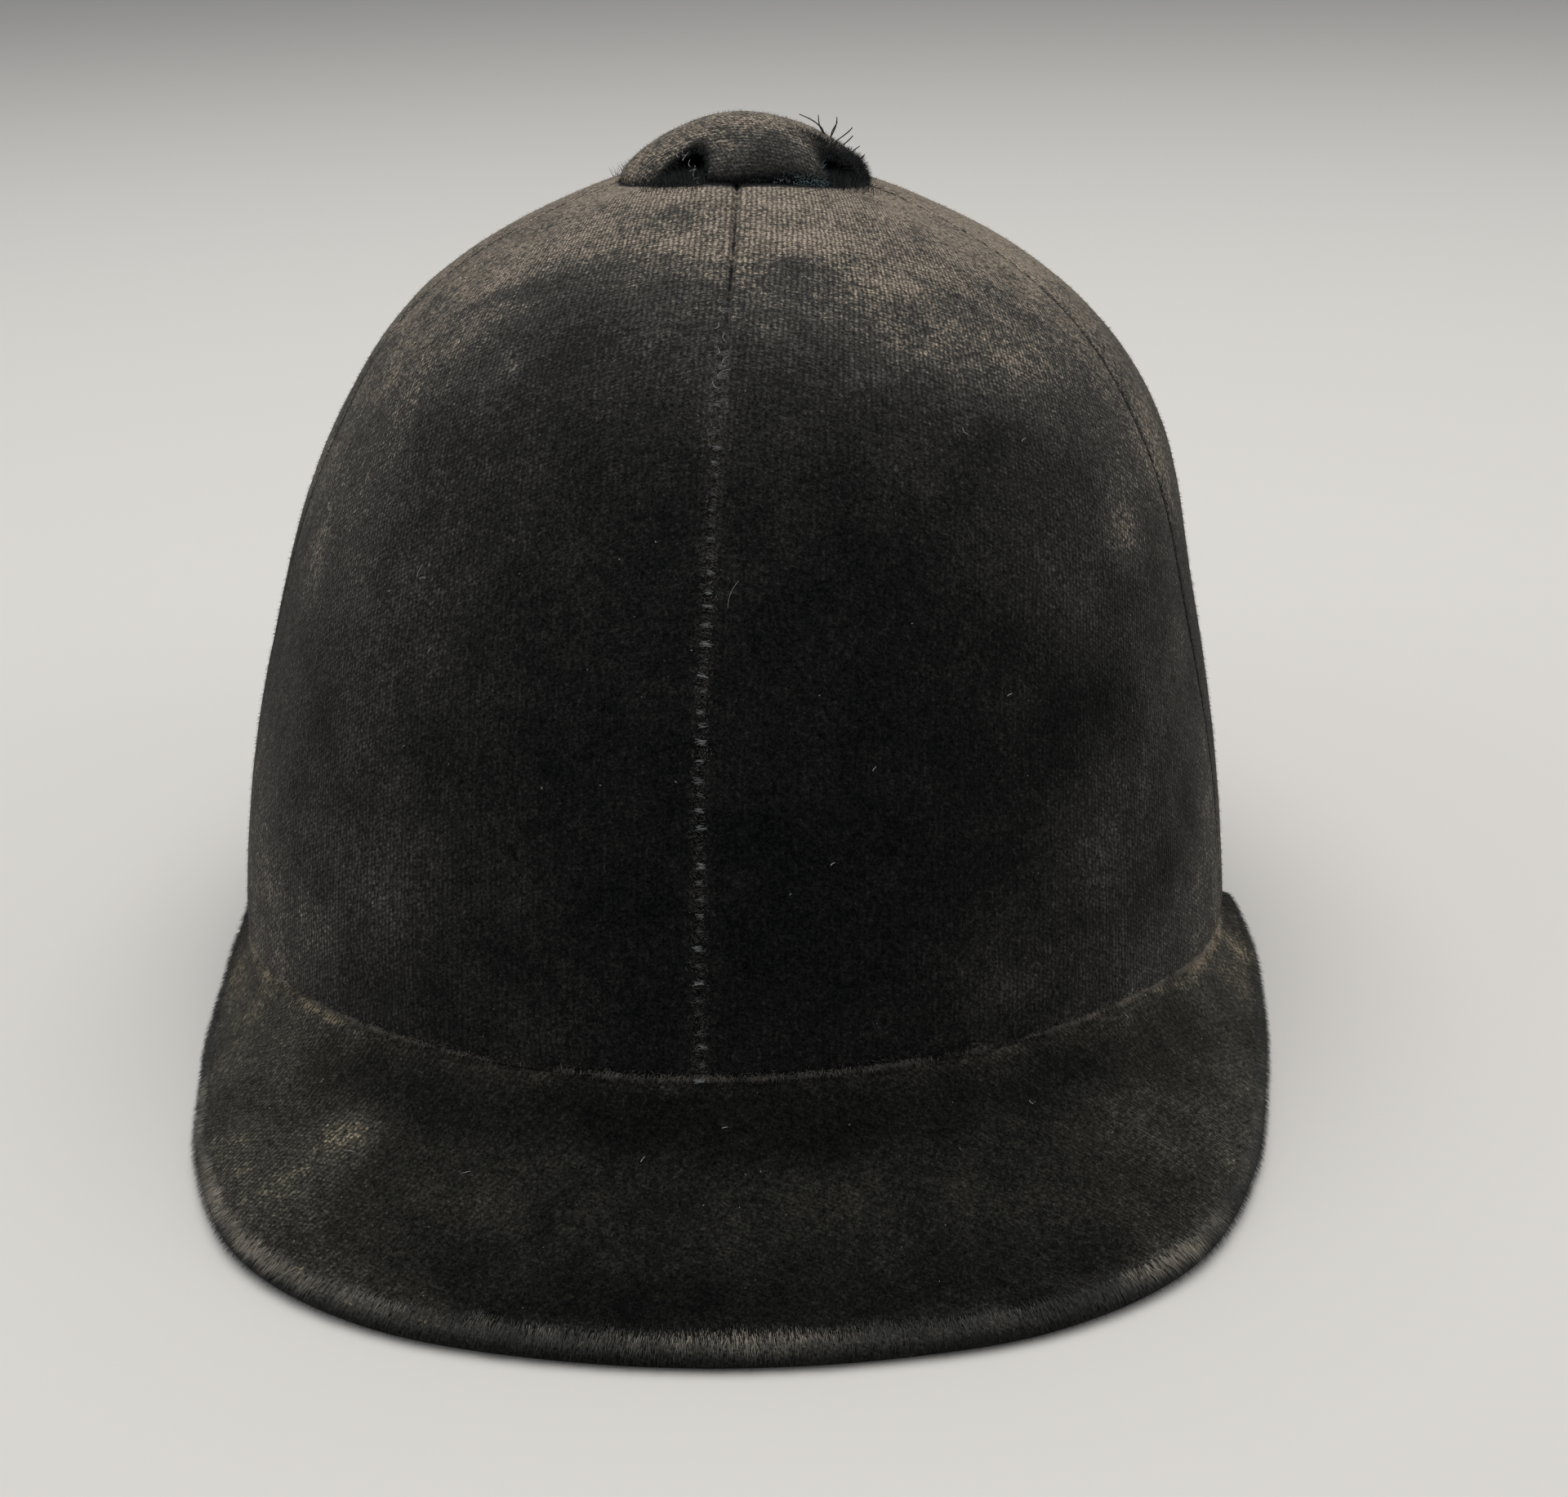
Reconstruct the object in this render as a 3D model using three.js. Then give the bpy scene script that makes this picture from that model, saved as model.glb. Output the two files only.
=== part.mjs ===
// A velvet-covered hunt cap: a stiff crown of four sewn panels, a short peak with a rolled
// edge, and a vented button. Millimetres, +Z up, the peak points to -Y, and +X is the
// wearer's left. The cap stands on the peak's edge and on the rim at the nape.

import * as THREE from 'three';

const { clamp, degToRad, lerp, radToDeg } = THREE.MathUtils;

// Driving dimensions, in millimetres.
const CROWN_HALF_WIDTH = 92.5;
const CROWN_HALF_LENGTH = 121;
const CROWN_HEIGHT = 143;
const CROWN_LEAN_BACK = 9;
const CROWN_WALL = 3;
const CROWN_VENT_RADIUS = 8;
const PEAK_WALL = 3;
const PEAK_DRIFT = 0.9;
const BUTTON_RADIUS = 22.5;
const BUTTON_DOME_HEIGHT = 12.9;
const BUTTON_TOP_HEIGHT = 151.2;
const BUTTON_DRIFT = 3;
const BUTTON_WALL = 2.5;
const VENT_WIDTH = 11;
const VENT_HEIGHT = 5.2;
const VENT_COUNT = 4;
const PIECE_GAP = 0.3;
const BUTTON_GAP = 0.55;

// Driving angles, in degrees.
const PEAK_END_BEARING = 82;
const PEAK_ROLL_TURN = 215;
const BUTTON_TURN = 15;

// How full the button's outline is: 2 is an ellipse, and less is flatter at the base.
const BUTTON_FULLNESS = 1.65;

// The peak's profile, as shares of how far it reaches out and drops from its seam: where it
// leaves the seam, how far its steep part falls, how straight it runs into the roll, how much
// of the drop eases the roll's slope, and where its wall reaches full thickness.
const PEAK_LEAVING_REACH = 0.08;
const PEAK_STEEP_DROP = 0.34;
const PEAK_STRAIGHT_END = 0.42;
const PEAK_SLOPE_EASE = 0.35;
const PEAK_WALL_BLEND = 1 / 3;

// The crown's horizontal sections. level is the angle of the section above the rim on a
// plain ellipsoid of the crown's size, and side, fore and aft say how far the section
// reaches compared with that ellipsoid. drift is its sideways shift in millimetres.
const CROWN_SECTIONS = [
  { level: 0, side: 0.987, fore: 1.0, aft: 0.945, drift: -0.2 },
  { level: 15, side: 0.997, fore: 1.01, aft: 0.94, drift: -0.2 },
  { level: 30, side: 1.027, fore: 1.055, aft: 0.965, drift: 0.9 },
  { level: 45, side: 1.114, fore: 1.155, aft: 1.03, drift: 2.9 },
  { level: 60, side: 1.156, fore: 1.31, aft: 1.07, drift: 1.8 },
  { level: 75, side: 1.04, fore: 1.36, aft: 1.06, drift: 1.7 },
  { level: 90, side: 0.93, fore: 1.2, aft: 1.05, drift: 1.7 },
];

// Where the hand-sewn seams run: their angle round the crown at each level, from the front
// towards the wearer's left. The back seam stays at 180.
const CROWN_SEAMS = [
  { level: 0, front: -0.6, left: 77, right: -79 },
  { level: 15, front: -0.8, left: 75, right: -78 },
  { level: 30, front: -1.3, left: 72, right: -76 },
  { level: 45, front: -1.8, left: 69.5, right: -75.5 },
  { level: 60, front: 0.2, left: 77.5, right: -82 },
  { level: 75, front: 3, left: 87.5, right: -89 },
  { level: 90, front: 7, left: 90, right: -90 },
];

// The crown's lower edge: the peak's seam at the front, then the rim down to the nape.
const RIM_LINE = [
  { around: 0, height: 27.5 },
  { around: 15, height: 27 },
  { around: 30, height: 25.2 },
  { around: 45, height: 22.2 },
  { around: 55, height: 19.2 },
  { around: 65, height: 15.4 },
  { around: 75, height: 12.6 },
  { around: 90, height: 10 },
  { around: 105, height: 6.8 },
  { around: 120, height: 3.3 },
  { around: 135, height: 0.6 },
  { around: 145, height: 0 },
  { around: 180, height: 0 },
];

// The peak's edge: at each bearing from the front, how far the rolled edge reaches from the
// crown's centre, how high the middle of the roll is, and the roll's radius.
const PEAK_EDGE = [
  { bearing: 0, reach: 150.3, height: 1.9, roll: 2.4 },
  { bearing: 10, reach: 150.1, height: 1.9, roll: 2.4 },
  { bearing: 20, reach: 149, height: 1.9, roll: 2.4 },
  { bearing: 30, reach: 142.8, height: 1.9, roll: 2.4 },
  { bearing: 40, reach: 129.4, height: 1.9, roll: 2.4 },
  { bearing: 50, reach: 115.7, height: 1.9, roll: 2.4 },
  { bearing: 60, reach: 106.3, height: 1.9, roll: 2.4 },
  { bearing: 67, reach: 101.3, height: 2.4, roll: 2.4 },
  { bearing: 72, reach: 98.6, height: 3.9, roll: 2.3 },
  { bearing: 77, reach: 96, height: 6.4, roll: 1.9 },
  { bearing: 82, reach: 93.6, height: 9.3, roll: 1.2 },
];

// How finely the walls are divided.
const PANEL_COLUMNS = 12;
const PANEL_ROWS = 19;
const PEAK_SECTIONS = 56;
const PEAK_SHEET_STEPS = 8;
const PEAK_ROLL_STEPS = 9;
const BUTTON_COLUMNS = 72;
const BUTTON_ROWS = 6;

// The angle over which a direction on the crown is measured, and how many rounds it takes to
// close in on a level.
const MEASURING_STEP = 0.5;
const CLOSING_ROUNDS = 8;

const VELVET = { color: 0x1d1a18, roughness: 0.95, metalness: 0 };
const WORN_VELVET = { color: 0x2b2622, roughness: 0.95, metalness: 0 };

// Reads a column of a table at any value of its key, by a smooth curve through the rows.
function readTable(rows, key, column, at) {
  const last = rows.length - 1;
  const wanted = clamp(at, rows[0][key], rows[last][key]);
  let i = 0;
  while (i < last - 1 && wanted > rows[i + 1][key]) {
    i += 1;
  }
  const slopeAt = (k) => {
    const before = rows[Math.max(k - 1, 0)];
    const after = rows[Math.min(k + 1, last)];
    return (after[column] - before[column]) / (after[key] - before[key]);
  };
  const span = rows[i + 1][key] - rows[i][key];
  const t = (wanted - rows[i][key]) / span;
  const t2 = t * t;
  const t3 = t2 * t;
  const fromLow = (2 * t3 - 3 * t2 + 1) * rows[i][column];
  const fromHigh = (3 * t2 - 2 * t3) * rows[i + 1][column];
  const fromLowSlope = (t3 - 2 * t2 + t) * span * slopeAt(i);
  const fromHighSlope = (t3 - t2) * span * slopeAt(i + 1);
  return fromLow + fromHigh + fromLowSlope + fromHighSlope;
}

// A point of the crown's outer face, from its angle round the crown and its level.
function crownPoint(around, level) {
  const turn = degToRad(around);
  const rise = degToRad(level);
  const section = (column) => readTable(CROWN_SECTIONS, 'level', column, level);
  const lengthwise = Math.cos(turn) > 0 ? section('fore') : section('aft');
  const x = section('drift') + CROWN_HALF_WIDTH * section('side') * Math.cos(rise) * Math.sin(turn);
  const y = -CROWN_HALF_LENGTH * lengthwise * Math.cos(rise) * Math.cos(turn);
  return new THREE.Vector3(x, y + CROWN_LEAN_BACK * Math.sin(rise), CROWN_HEIGHT * Math.sin(rise));
}

// The crown's outward direction at the same place, from two short steps on its face.
function crownNormal(around, level) {
  const step = MEASURING_STEP;
  const across = crownPoint(around + step, level).sub(crownPoint(around - step, level));
  const up = crownPoint(around, level + step).sub(crownPoint(around, level - step));
  return across.cross(up).normalize();
}

// The same place on the crown's inner face. flatAt keeps the lower edge level.
function crownInnerPoint(around, level, flatAt = null) {
  const point = crownPoint(around, level);
  point.addScaledVector(crownNormal(around, level), -CROWN_WALL);
  if (flatAt !== null) {
    point.z = flatAt;
  }
  return point;
}

function rimHeight(around) {
  return Math.max(0, readTable(RIM_LINE, 'around', 'height', Math.abs(around)));
}

function rimLevel(around) {
  return radToDeg(Math.asin(rimHeight(around) / CROWN_HEIGHT));
}

// The level at which the crown closes in to its vent hole below the button.
function ventLevel(around) {
  const top = CROWN_SECTIONS[CROWN_SECTIONS.length - 1];
  const turn = degToRad(around);
  const lengthwise = Math.cos(turn) > 0 ? top.fore : top.aft;
  const wide = CROWN_HALF_WIDTH * top.side * Math.sin(turn);
  const long = CROWN_HALF_LENGTH * lengthwise * Math.cos(turn);
  return radToDeg(Math.acos(CROWN_VENT_RADIUS / Math.hypot(wide, long)));
}

// Builds one closed solid between two grids of points, with its edges closed.
function wallGeometry(columns, rows, outerAt, innerAt, { wraps = false, closesAtTop = false } = {}) {
  const points = [];
  const faces = [];
  const addLayer = (pointAt) => {
    const layer = [];
    for (let row = 0; row <= rows; row += 1) {
      const line = [];
      for (let column = 0; column < (wraps ? columns : columns + 1); column += 1) {
        const isPole = closesAtTop && row === rows && column > 0;
        line.push(isPole ? line[0] : points.push(pointAt(column / columns, row / rows)) - 1);
      }
      if (wraps) {
        line.push(line[0]);
      }
      layer.push(line);
    }
    return layer;
  };
  const addQuad = (a, b, c, d) => {
    for (const face of [[a, b, c], [a, c, d]]) {
      if (new Set(face).size === face.length) {
        faces.push(...face);
      }
    }
  };
  const outer = addLayer(outerAt);
  const inner = addLayer(innerAt);
  for (let row = 0; row < rows; row += 1) {
    for (let column = 0; column < columns; column += 1) {
      const next = column + 1;
      addQuad(outer[row][column], outer[row][next], outer[row + 1][next], outer[row + 1][column]);
      addQuad(inner[row][column], inner[row + 1][column], inner[row + 1][next], inner[row][next]);
    }
  }
  for (let column = 0; column < columns; column += 1) {
    const next = column + 1;
    addQuad(outer[0][next], outer[0][column], inner[0][column], inner[0][next]);
    if (!closesAtTop) {
      addQuad(outer[rows][column], outer[rows][next], inner[rows][next], inner[rows][column]);
    }
  }
  for (let row = 0; row < rows && !wraps; row += 1) {
    addQuad(outer[row][0], outer[row + 1][0], inner[row + 1][0], inner[row][0]);
    addQuad(outer[row + 1][columns], outer[row][columns], inner[row][columns], inner[row + 1][columns]);
  }
  return meshGeometry(points, faces);
}

function meshGeometry(points, faces) {
  const geometry = new THREE.BufferGeometry();
  geometry.setFromPoints(points);
  geometry.setIndex(faces);
  geometry.computeVertexNormals();
  return geometry;
}

// One crown panel, between two seams. Each seam gives its angle round the crown at a level.
function crownPanelGeometry(firstSeam, lastSeam) {
  const placeOf = (across, up) => {
    let level = lerp(rimLevel(0), ventLevel(0), up);
    let around = 0;
    for (let pass = 0; pass < CLOSING_ROUNDS; pass += 1) {
      around = lerp(firstSeam(level), lastSeam(level), across);
      level = lerp(rimLevel(around), ventLevel(around), up);
    }
    const step = MEASURING_STEP;
    const stride = crownPoint(around + step, level).distanceTo(crownPoint(around - step, level));
    const seamAllowance = (PIECE_GAP / 2) * (2 * step / stride);
    return { around: around + seamAllowance * (1 - 2 * across), level };
  };
  const outerAt = (across, up) => {
    const place = placeOf(across, up);
    return crownPoint(place.around, place.level);
  };
  const innerAt = (across, up) => {
    const place = placeOf(across, up);
    const flatAt = up === 0 ? crownPoint(place.around, place.level).z : null;
    return crownInnerPoint(place.around, place.level, flatAt);
  };
  return wallGeometry(PANEL_COLUMNS, PANEL_ROWS, outerAt, innerAt);
}

// The peak's section at one bearing, as distances from the crown's centre line and heights.
// It leaves the crown straight down, flares outwards and ends in the rolled edge.
function peakSection(bearing) {
  const turn = degToRad(bearing);
  const around = radToDeg(Math.atan2(
    CROWN_HALF_LENGTH * Math.sin(turn),
    CROWN_HALF_WIDTH * Math.cos(turn),
  ));
  const seam = crownPoint(around, rimLevel(around));
  const inner = crownInnerPoint(around, rimLevel(around));
  const top = seam.z - PIECE_GAP;
  const seamReach = Math.hypot(seam.x, seam.y);
  const innerReach = Math.hypot(inner.x, inner.y);
  const edgeColumn = (column) => readTable(PEAK_EDGE, 'bearing', column, Math.abs(bearing));
  const rollRadius = edgeColumn('roll');
  const edgeReach = edgeColumn('reach') + PEAK_DRIFT * Math.sin(turn);
  const roll = new THREE.Vector2(edgeReach - rollRadius, edgeColumn('height'));

  const run = roll.x - seamReach;
  const drop = top - roll.y;
  const slope = Math.atan2(drop, run + drop * PEAK_SLOPE_EASE);
  const outward = new THREE.Vector2(Math.cos(slope), -Math.sin(slope));
  const rollTop = roll.clone().addScaledVector(new THREE.Vector2(-outward.y, outward.x), rollRadius);
  const upper = new THREE.CubicBezierCurve(
    new THREE.Vector2(seamReach, top),
    new THREE.Vector2(seamReach + run * PEAK_LEAVING_REACH, top - drop * PEAK_STEEP_DROP),
    rollTop.clone().addScaledVector(outward, -run * PEAK_STRAIGHT_END),
    rollTop,
  );
  const outline = upper.getPoints(PEAK_SHEET_STEPS);

  const rollStart = Math.PI / 2 - slope;
  const rollTurn = degToRad(PEAK_ROLL_TURN);
  for (let step = 1; step <= PEAK_ROLL_STEPS; step += 1) {
    const angle = rollStart - (rollTurn * step) / PEAK_ROLL_STEPS;
    outline.push(new THREE.Vector2(
      roll.x + rollRadius * Math.cos(angle),
      roll.y + rollRadius * Math.sin(angle),
    ));
  }
  for (let step = PEAK_SHEET_STEPS - 1; step >= 1; step -= 1) {
    const share = step / PEAK_SHEET_STEPS;
    const tangent = upper.getTangent(share);
    const wall = lerp(seamReach - innerReach, PEAK_WALL, Math.min(1, share / PEAK_WALL_BLEND));
    const point = upper.getPoint(share);
    outline.push(new THREE.Vector2(point.x + tangent.y * wall, point.y - tangent.x * wall));
  }
  outline.push(new THREE.Vector2(innerReach, top));
  return outline.map((point) => ({ reach: point.x, height: Math.max(0, point.y) }));
}

// Sweeps the section round the front of the crown and closes both ends.
function peakGeometry() {
  const points = [];
  const faces = [];
  let outline = [];
  for (let step = 0; step <= PEAK_SECTIONS; step += 1) {
    const bearing = lerp(-PEAK_END_BEARING, PEAK_END_BEARING, step / PEAK_SECTIONS);
    const turn = degToRad(bearing);
    outline = peakSection(bearing);
    for (const { reach, height } of outline) {
      points.push(new THREE.Vector3(reach * Math.sin(turn), -reach * Math.cos(turn), height));
    }
  }
  const count = outline.length;
  for (let step = 0; step < PEAK_SECTIONS; step += 1) {
    for (let corner = 0; corner < count; corner += 1) {
      const here = step * count + corner;
      const next = step * count + ((corner + 1) % count);
      faces.push(here, next, next + count, here, next + count, here + count);
    }
  }
  const endShape = outline.map(({ reach, height }) => new THREE.Vector2(reach, height));
  const lastSection = PEAK_SECTIONS * count;
  for (const [a, b, c] of THREE.ShapeUtils.triangulateShape(endShape, [])) {
    faces.push(a, b, c);
    faces.push(lastSection + a, lastSection + c, lastSection + b);
  }
  return meshGeometry(points, faces);
}

// The crown's height at a place near its top, found by closing in on the level there.
function crownHeightAt(x, y) {
  let level = CROWN_SECTIONS[CROWN_SECTIONS.length - 2].level;
  for (let pass = 0; pass < CLOSING_ROUNDS; pass += 1) {
    const section = (column) => readTable(CROWN_SECTIONS, 'level', column, level);
    const forward = CROWN_LEAN_BACK * Math.sin(degToRad(level)) - y;
    const lengthwise = forward > 0 ? section('fore') : section('aft');
    const wide = (x - section('drift')) / (CROWN_HALF_WIDTH * section('side'));
    const long = forward / (CROWN_HALF_LENGTH * lengthwise);
    level = radToDeg(Math.acos(Math.min(1, Math.hypot(wide, long))));
  }
  return CROWN_HEIGHT * Math.sin(degToRad(level));
}

// How high the button's lower edge is lifted by a vent at this bearing.
function ventLift(bearing) {
  const spacing = 360 / VENT_COUNT;
  const firstVent = BUTTON_TURN + spacing / 2;
  const offset = THREE.MathUtils.euclideanModulo(bearing - firstVent + spacing / 2, spacing) - spacing / 2;
  const halfWidth = radToDeg(VENT_WIDTH / 2 / BUTTON_RADIUS);
  const share = Math.min(1, Math.abs(offset) / halfWidth);
  return VENT_HEIGHT * Math.sqrt(1 - share * share);
}

// The domed button. Its lower edge follows the crown and rises in an arch at each vent.
function buttonGeometry() {
  const base = BUTTON_TOP_HEIGHT - BUTTON_DOME_HEIGHT;
  const power = 2 / BUTTON_FULLNESS;
  const placeAt = (bearing, reach, height) => new THREE.Vector3(
    BUTTON_DRIFT + reach * Math.sin(degToRad(bearing)),
    CROWN_LEAN_BACK - reach * Math.cos(degToRad(bearing)),
    height,
  );
  const surfaceAt = (inset) => (across, up) => {
    const bearing = across * 360;
    const radius = BUTTON_RADIUS - inset;
    const domeHeight = BUTTON_DOME_HEIGHT - inset;
    const foot = placeAt(bearing, radius, 0);
    const seat = crownHeightAt(foot.x, foot.y) + BUTTON_GAP;
    const lowest = Math.max(0, seat - base) + ventLift(bearing);
    const firstRise = Math.asin((lowest / domeHeight) ** (1 / power));
    const rise = lerp(firstRise, Math.PI / 2, up);
    const reach = radius * Math.max(0, Math.cos(rise)) ** power;
    return placeAt(bearing, reach, base + domeHeight * Math.sin(rise) ** power);
  };
  const shape = { wraps: true, closesAtTop: true };
  return wallGeometry(BUTTON_COLUMNS, BUTTON_ROWS, surfaceAt(0), surfaceAt(BUTTON_WALL), shape);
}

function addPiece(group, name, geometry, finish) {
  const piece = new THREE.Mesh(geometry, new THREE.MeshStandardMaterial(finish));
  piece.name = name;
  group.add(piece);
}

function buildCrown() {
  const crown = new THREE.Group();
  const seam = (column) => (level) => readTable(CROWN_SEAMS, 'level', column, level);
  const panels = {
    crown_panel_front_left: [seam('front'), seam('left')],
    crown_panel_front_right: [seam('right'), seam('front')],
    crown_panel_rear_left: [seam('left'), () => 180],
    crown_panel_rear_right: [() => -180, seam('right')],
  };
  for (const [name, [firstSeam, lastSeam]] of Object.entries(panels)) {
    addPiece(crown, name, crownPanelGeometry(firstSeam, lastSeam), VELVET);
  }
  return crown;
}

// The origin is on the surface that the cap stands on, below the middle of its outline.
function centreOnSurface(cap) {
  const box = new THREE.Box3().setFromObject(cap);
  const middle = box.getCenter(new THREE.Vector3());
  cap.position.set(-middle.x, -middle.y, -box.min.z);
}

const cap = new THREE.Group();
cap.add(buildCrown());
addPiece(cap, 'peak', peakGeometry(), WORN_VELVET);
addPiece(cap, 'top_button', buttonGeometry(), WORN_VELVET);
centreOnSurface(cap);

export default cap;
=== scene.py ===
import math
from collections import namedtuple

import bmesh
import bpy
import numpy as np
from bpy.props import FloatProperty, FloatVectorProperty, IntProperty, PointerProperty
from mathutils import Matrix, Vector, noise


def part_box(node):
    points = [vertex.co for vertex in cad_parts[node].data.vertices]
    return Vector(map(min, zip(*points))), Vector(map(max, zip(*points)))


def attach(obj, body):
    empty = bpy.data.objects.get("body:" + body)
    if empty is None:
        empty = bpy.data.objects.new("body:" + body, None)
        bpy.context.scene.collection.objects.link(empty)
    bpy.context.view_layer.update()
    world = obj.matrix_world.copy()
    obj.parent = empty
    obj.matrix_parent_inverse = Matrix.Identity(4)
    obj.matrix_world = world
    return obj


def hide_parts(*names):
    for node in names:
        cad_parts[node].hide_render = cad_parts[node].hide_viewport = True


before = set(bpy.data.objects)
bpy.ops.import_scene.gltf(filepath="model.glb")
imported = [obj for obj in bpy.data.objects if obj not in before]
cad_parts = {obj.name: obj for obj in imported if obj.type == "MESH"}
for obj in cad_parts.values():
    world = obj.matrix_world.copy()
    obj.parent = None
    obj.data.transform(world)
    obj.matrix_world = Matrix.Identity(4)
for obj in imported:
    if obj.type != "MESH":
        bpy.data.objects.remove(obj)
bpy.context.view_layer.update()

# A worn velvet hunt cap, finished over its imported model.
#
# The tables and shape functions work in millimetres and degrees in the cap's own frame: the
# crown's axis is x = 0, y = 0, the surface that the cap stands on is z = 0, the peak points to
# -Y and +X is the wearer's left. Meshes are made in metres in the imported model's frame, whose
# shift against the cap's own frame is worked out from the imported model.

bl_info = {
    "name": "Hunt Cap",
    "version": (1, 0, 0),
    "blender": (4, 5, 0),
    "location": "View3D > Sidebar > Hunt Cap",
    "description": "Finishes a worn velvet hunt cap with its seams, pile, wear and vented button",
    "category": "Add Mesh",
}

MILLIMETRE = 0.001
BODY = "root"

# The sizes that the cap was built to.
CROWN_HALF_WIDTH = 92.5
CROWN_HALF_LENGTH = 121.0
CROWN_HEIGHT = 143.0
CROWN_LEAN_BACK = 9.0
CROWN_WALL = 3.0
CROWN_VENT_RADIUS = 8.0
PEAK_WALL = 3.0
PEAK_DRIFT = 0.9
PEAK_END_BEARING = 82.0
PEAK_ROLL_TURN = 215.0
PEAK_LEAVING_REACH = 0.08
PEAK_STEEP_DROP = 0.34
PEAK_STRAIGHT_END = 0.42
PEAK_SLOPE_EASE = 0.35
PEAK_WALL_BLEND = 1 / 3
PEAK_CLOTH_BIAS = 41.0
BUTTON_RADIUS = 22.5
BUTTON_DOME_HEIGHT = 12.9
BUTTON_TOP_HEIGHT = 151.2
BUTTON_DRIFT = 3.0
BUTTON_WALL = 2.5
BUTTON_TURN = 15.0
BUTTON_FULLNESS = 1.65
BUTTON_GAP = 0.3
VENT_WIDTH = 11.0
VENT_HEIGHT = 5.2
VENT_COUNT = 4

# Values that several functions share. Only the weld distance is in metres.
UPWARDS = np.array([0.0, 0.0, 1.0])
BUTTON_MIDDLE = np.array([BUTTON_DRIFT, CROWN_LEAN_BACK, 0.0])
BUTTON_CENTRE = BUTTON_MIDDLE + 128.0 * UPWARDS
PEAK_CENTRE = 14.0 * UPWARDS
UNDERSIDE_SHARE = 2.5
UNDERSIDE_START = 1.95
MEASURING_STEP = 0.5
CLOSING_ROUNDS = 8
WELD_DISTANCE = 2e-6
FAR_AWAY = 999.0
EDGE_TURN_REACH = 0.8
MARK_REACH = 4
RUBBED_WEAR = 0.75
BARE_WEAR_SHARE = 0.66
LINT_RADIUS = 0.065
FRAYED_RADIUS = 0.12
FOOT_DEPTH = 0.3
KNOT_SPACING = 0.85
SEAM_LINE_POINTS = 160
STITCH_UNTIDINESS = 0.4
PICTURE_WIDTH = 1920
SENSOR_WIDTH = 36.0


def table(columns, rows):
    """Rows of values whose columns have names."""
    Row = namedtuple("Row", columns)
    return [Row(*row) for row in rows]


# The crown's horizontal sections. level is the angle of the section above the rim on a plain
# ellipsoid of the crown's size, and side, fore and aft say how far the section reaches compared
# with that ellipsoid. drift is its sideways shift.
CROWN_SECTIONS = table("level side fore aft drift", (
    (0, 0.987, 1.0, 0.945, -0.2), (15, 0.997, 1.01, 0.94, -0.2), (30, 1.027, 1.055, 0.965, 0.9),
    (45, 1.114, 1.155, 1.03, 2.9), (60, 1.156, 1.31, 1.07, 1.8), (75, 1.04, 1.36, 1.06, 1.7),
    (90, 0.93, 1.2, 1.05, 1.7),
))

# Where the seams run: their angle round the crown at each level.
CROWN_SEAMS = table("level front left right", (
    (0, -0.6, 77, -79), (15, -0.8, 75, -78), (30, -1.3, 72, -76), (45, -1.8, 69.5, -75.5),
    (60, 0.2, 77.5, -82), (75, 3, 87.5, -89), (90, 7, 90, -90),
))
BACK_SEAMS = {"back_from_left": 180.0, "back_from_right": -180.0}

# The crown's lower edge: the peak's seam at the front, then the rim down to the nape.
RIM_LINE = table("around height", (
    (0, 27.5), (15, 27), (30, 25.2), (45, 22.2), (55, 19.2), (65, 15.4), (75, 12.6), (90, 10),
    (105, 6.8), (120, 3.3), (135, 0.6), (145, 0), (180, 0),
))

# The peak's edge: how far the roll reaches at each bearing, its middle's height and its radius.
PEAK_EDGE = table("bearing reach height roll", (
    (0, 150.3, 1.9, 2.4), (10, 150.1, 1.9, 2.4), (20, 149, 1.9, 2.4), (30, 142.8, 1.9, 2.4),
    (40, 129.4, 1.9, 2.4), (50, 115.7, 1.9, 2.4), (60, 106.3, 1.9, 2.4), (67, 101.3, 2.4, 2.4),
    (72, 98.6, 3.9, 2.3), (77, 96, 6.4, 1.9), (82, 93.6, 9.3, 1.2),
))

# The four velvet panels, the seams at their two sides, and the side that the ribs run along.
PANELS = table("node first last ribs_from", (
    ("crown_panel_front_left", "front", "left", "first"),
    ("crown_panel_front_right", "right", "front", "last"),
    ("crown_panel_rear_left", "left", "back_from_left", "last"),
    ("crown_panel_rear_right", "back_from_right", "right", "first"),
))

# How worn the crown's pile is at each level, from 0, whole, to 1, bare: in the middle of the front,
# at the shoulder and on the flank. The shoulder and flank are lighter partly from wear and partly
# from painted sheen, the shine of velvet seen at a slant.
CROWN_WEAR_AND_SHEEN = table("level middle shoulder flank", (
    (6, 0.16, 0.6, 0.78), (12, 0.2, 0.56, 0.74), (20, 0.16, 0.52, 0.64), (28, 0.15, 0.46, 0.6),
    (35, 0.16, 0.46, 0.63), (41, 0.21, 0.51, 0.72), (46, 0.27, 0.53, 0.77), (51, 0.33, 0.56, 0.82),
    (56, 0.42, 0.66, 0.92), (60, 0.53, 0.72, 0.96), (64, 0.69, 0.82, 1.0), (68, 0.85, 0.93, 1.02),
    (72, 1.02, 1.0, 1.04), (90, 1.06, 1.05, 1.05),
))
CROWN_DARK_MIDDLE = 5.0
CROWN_DARK_HALF_ANGLE = 10.0
CROWN_SHOULDER_ANGLE = 44.0
CROWN_FLANK_ANGLE = 66.0

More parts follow.
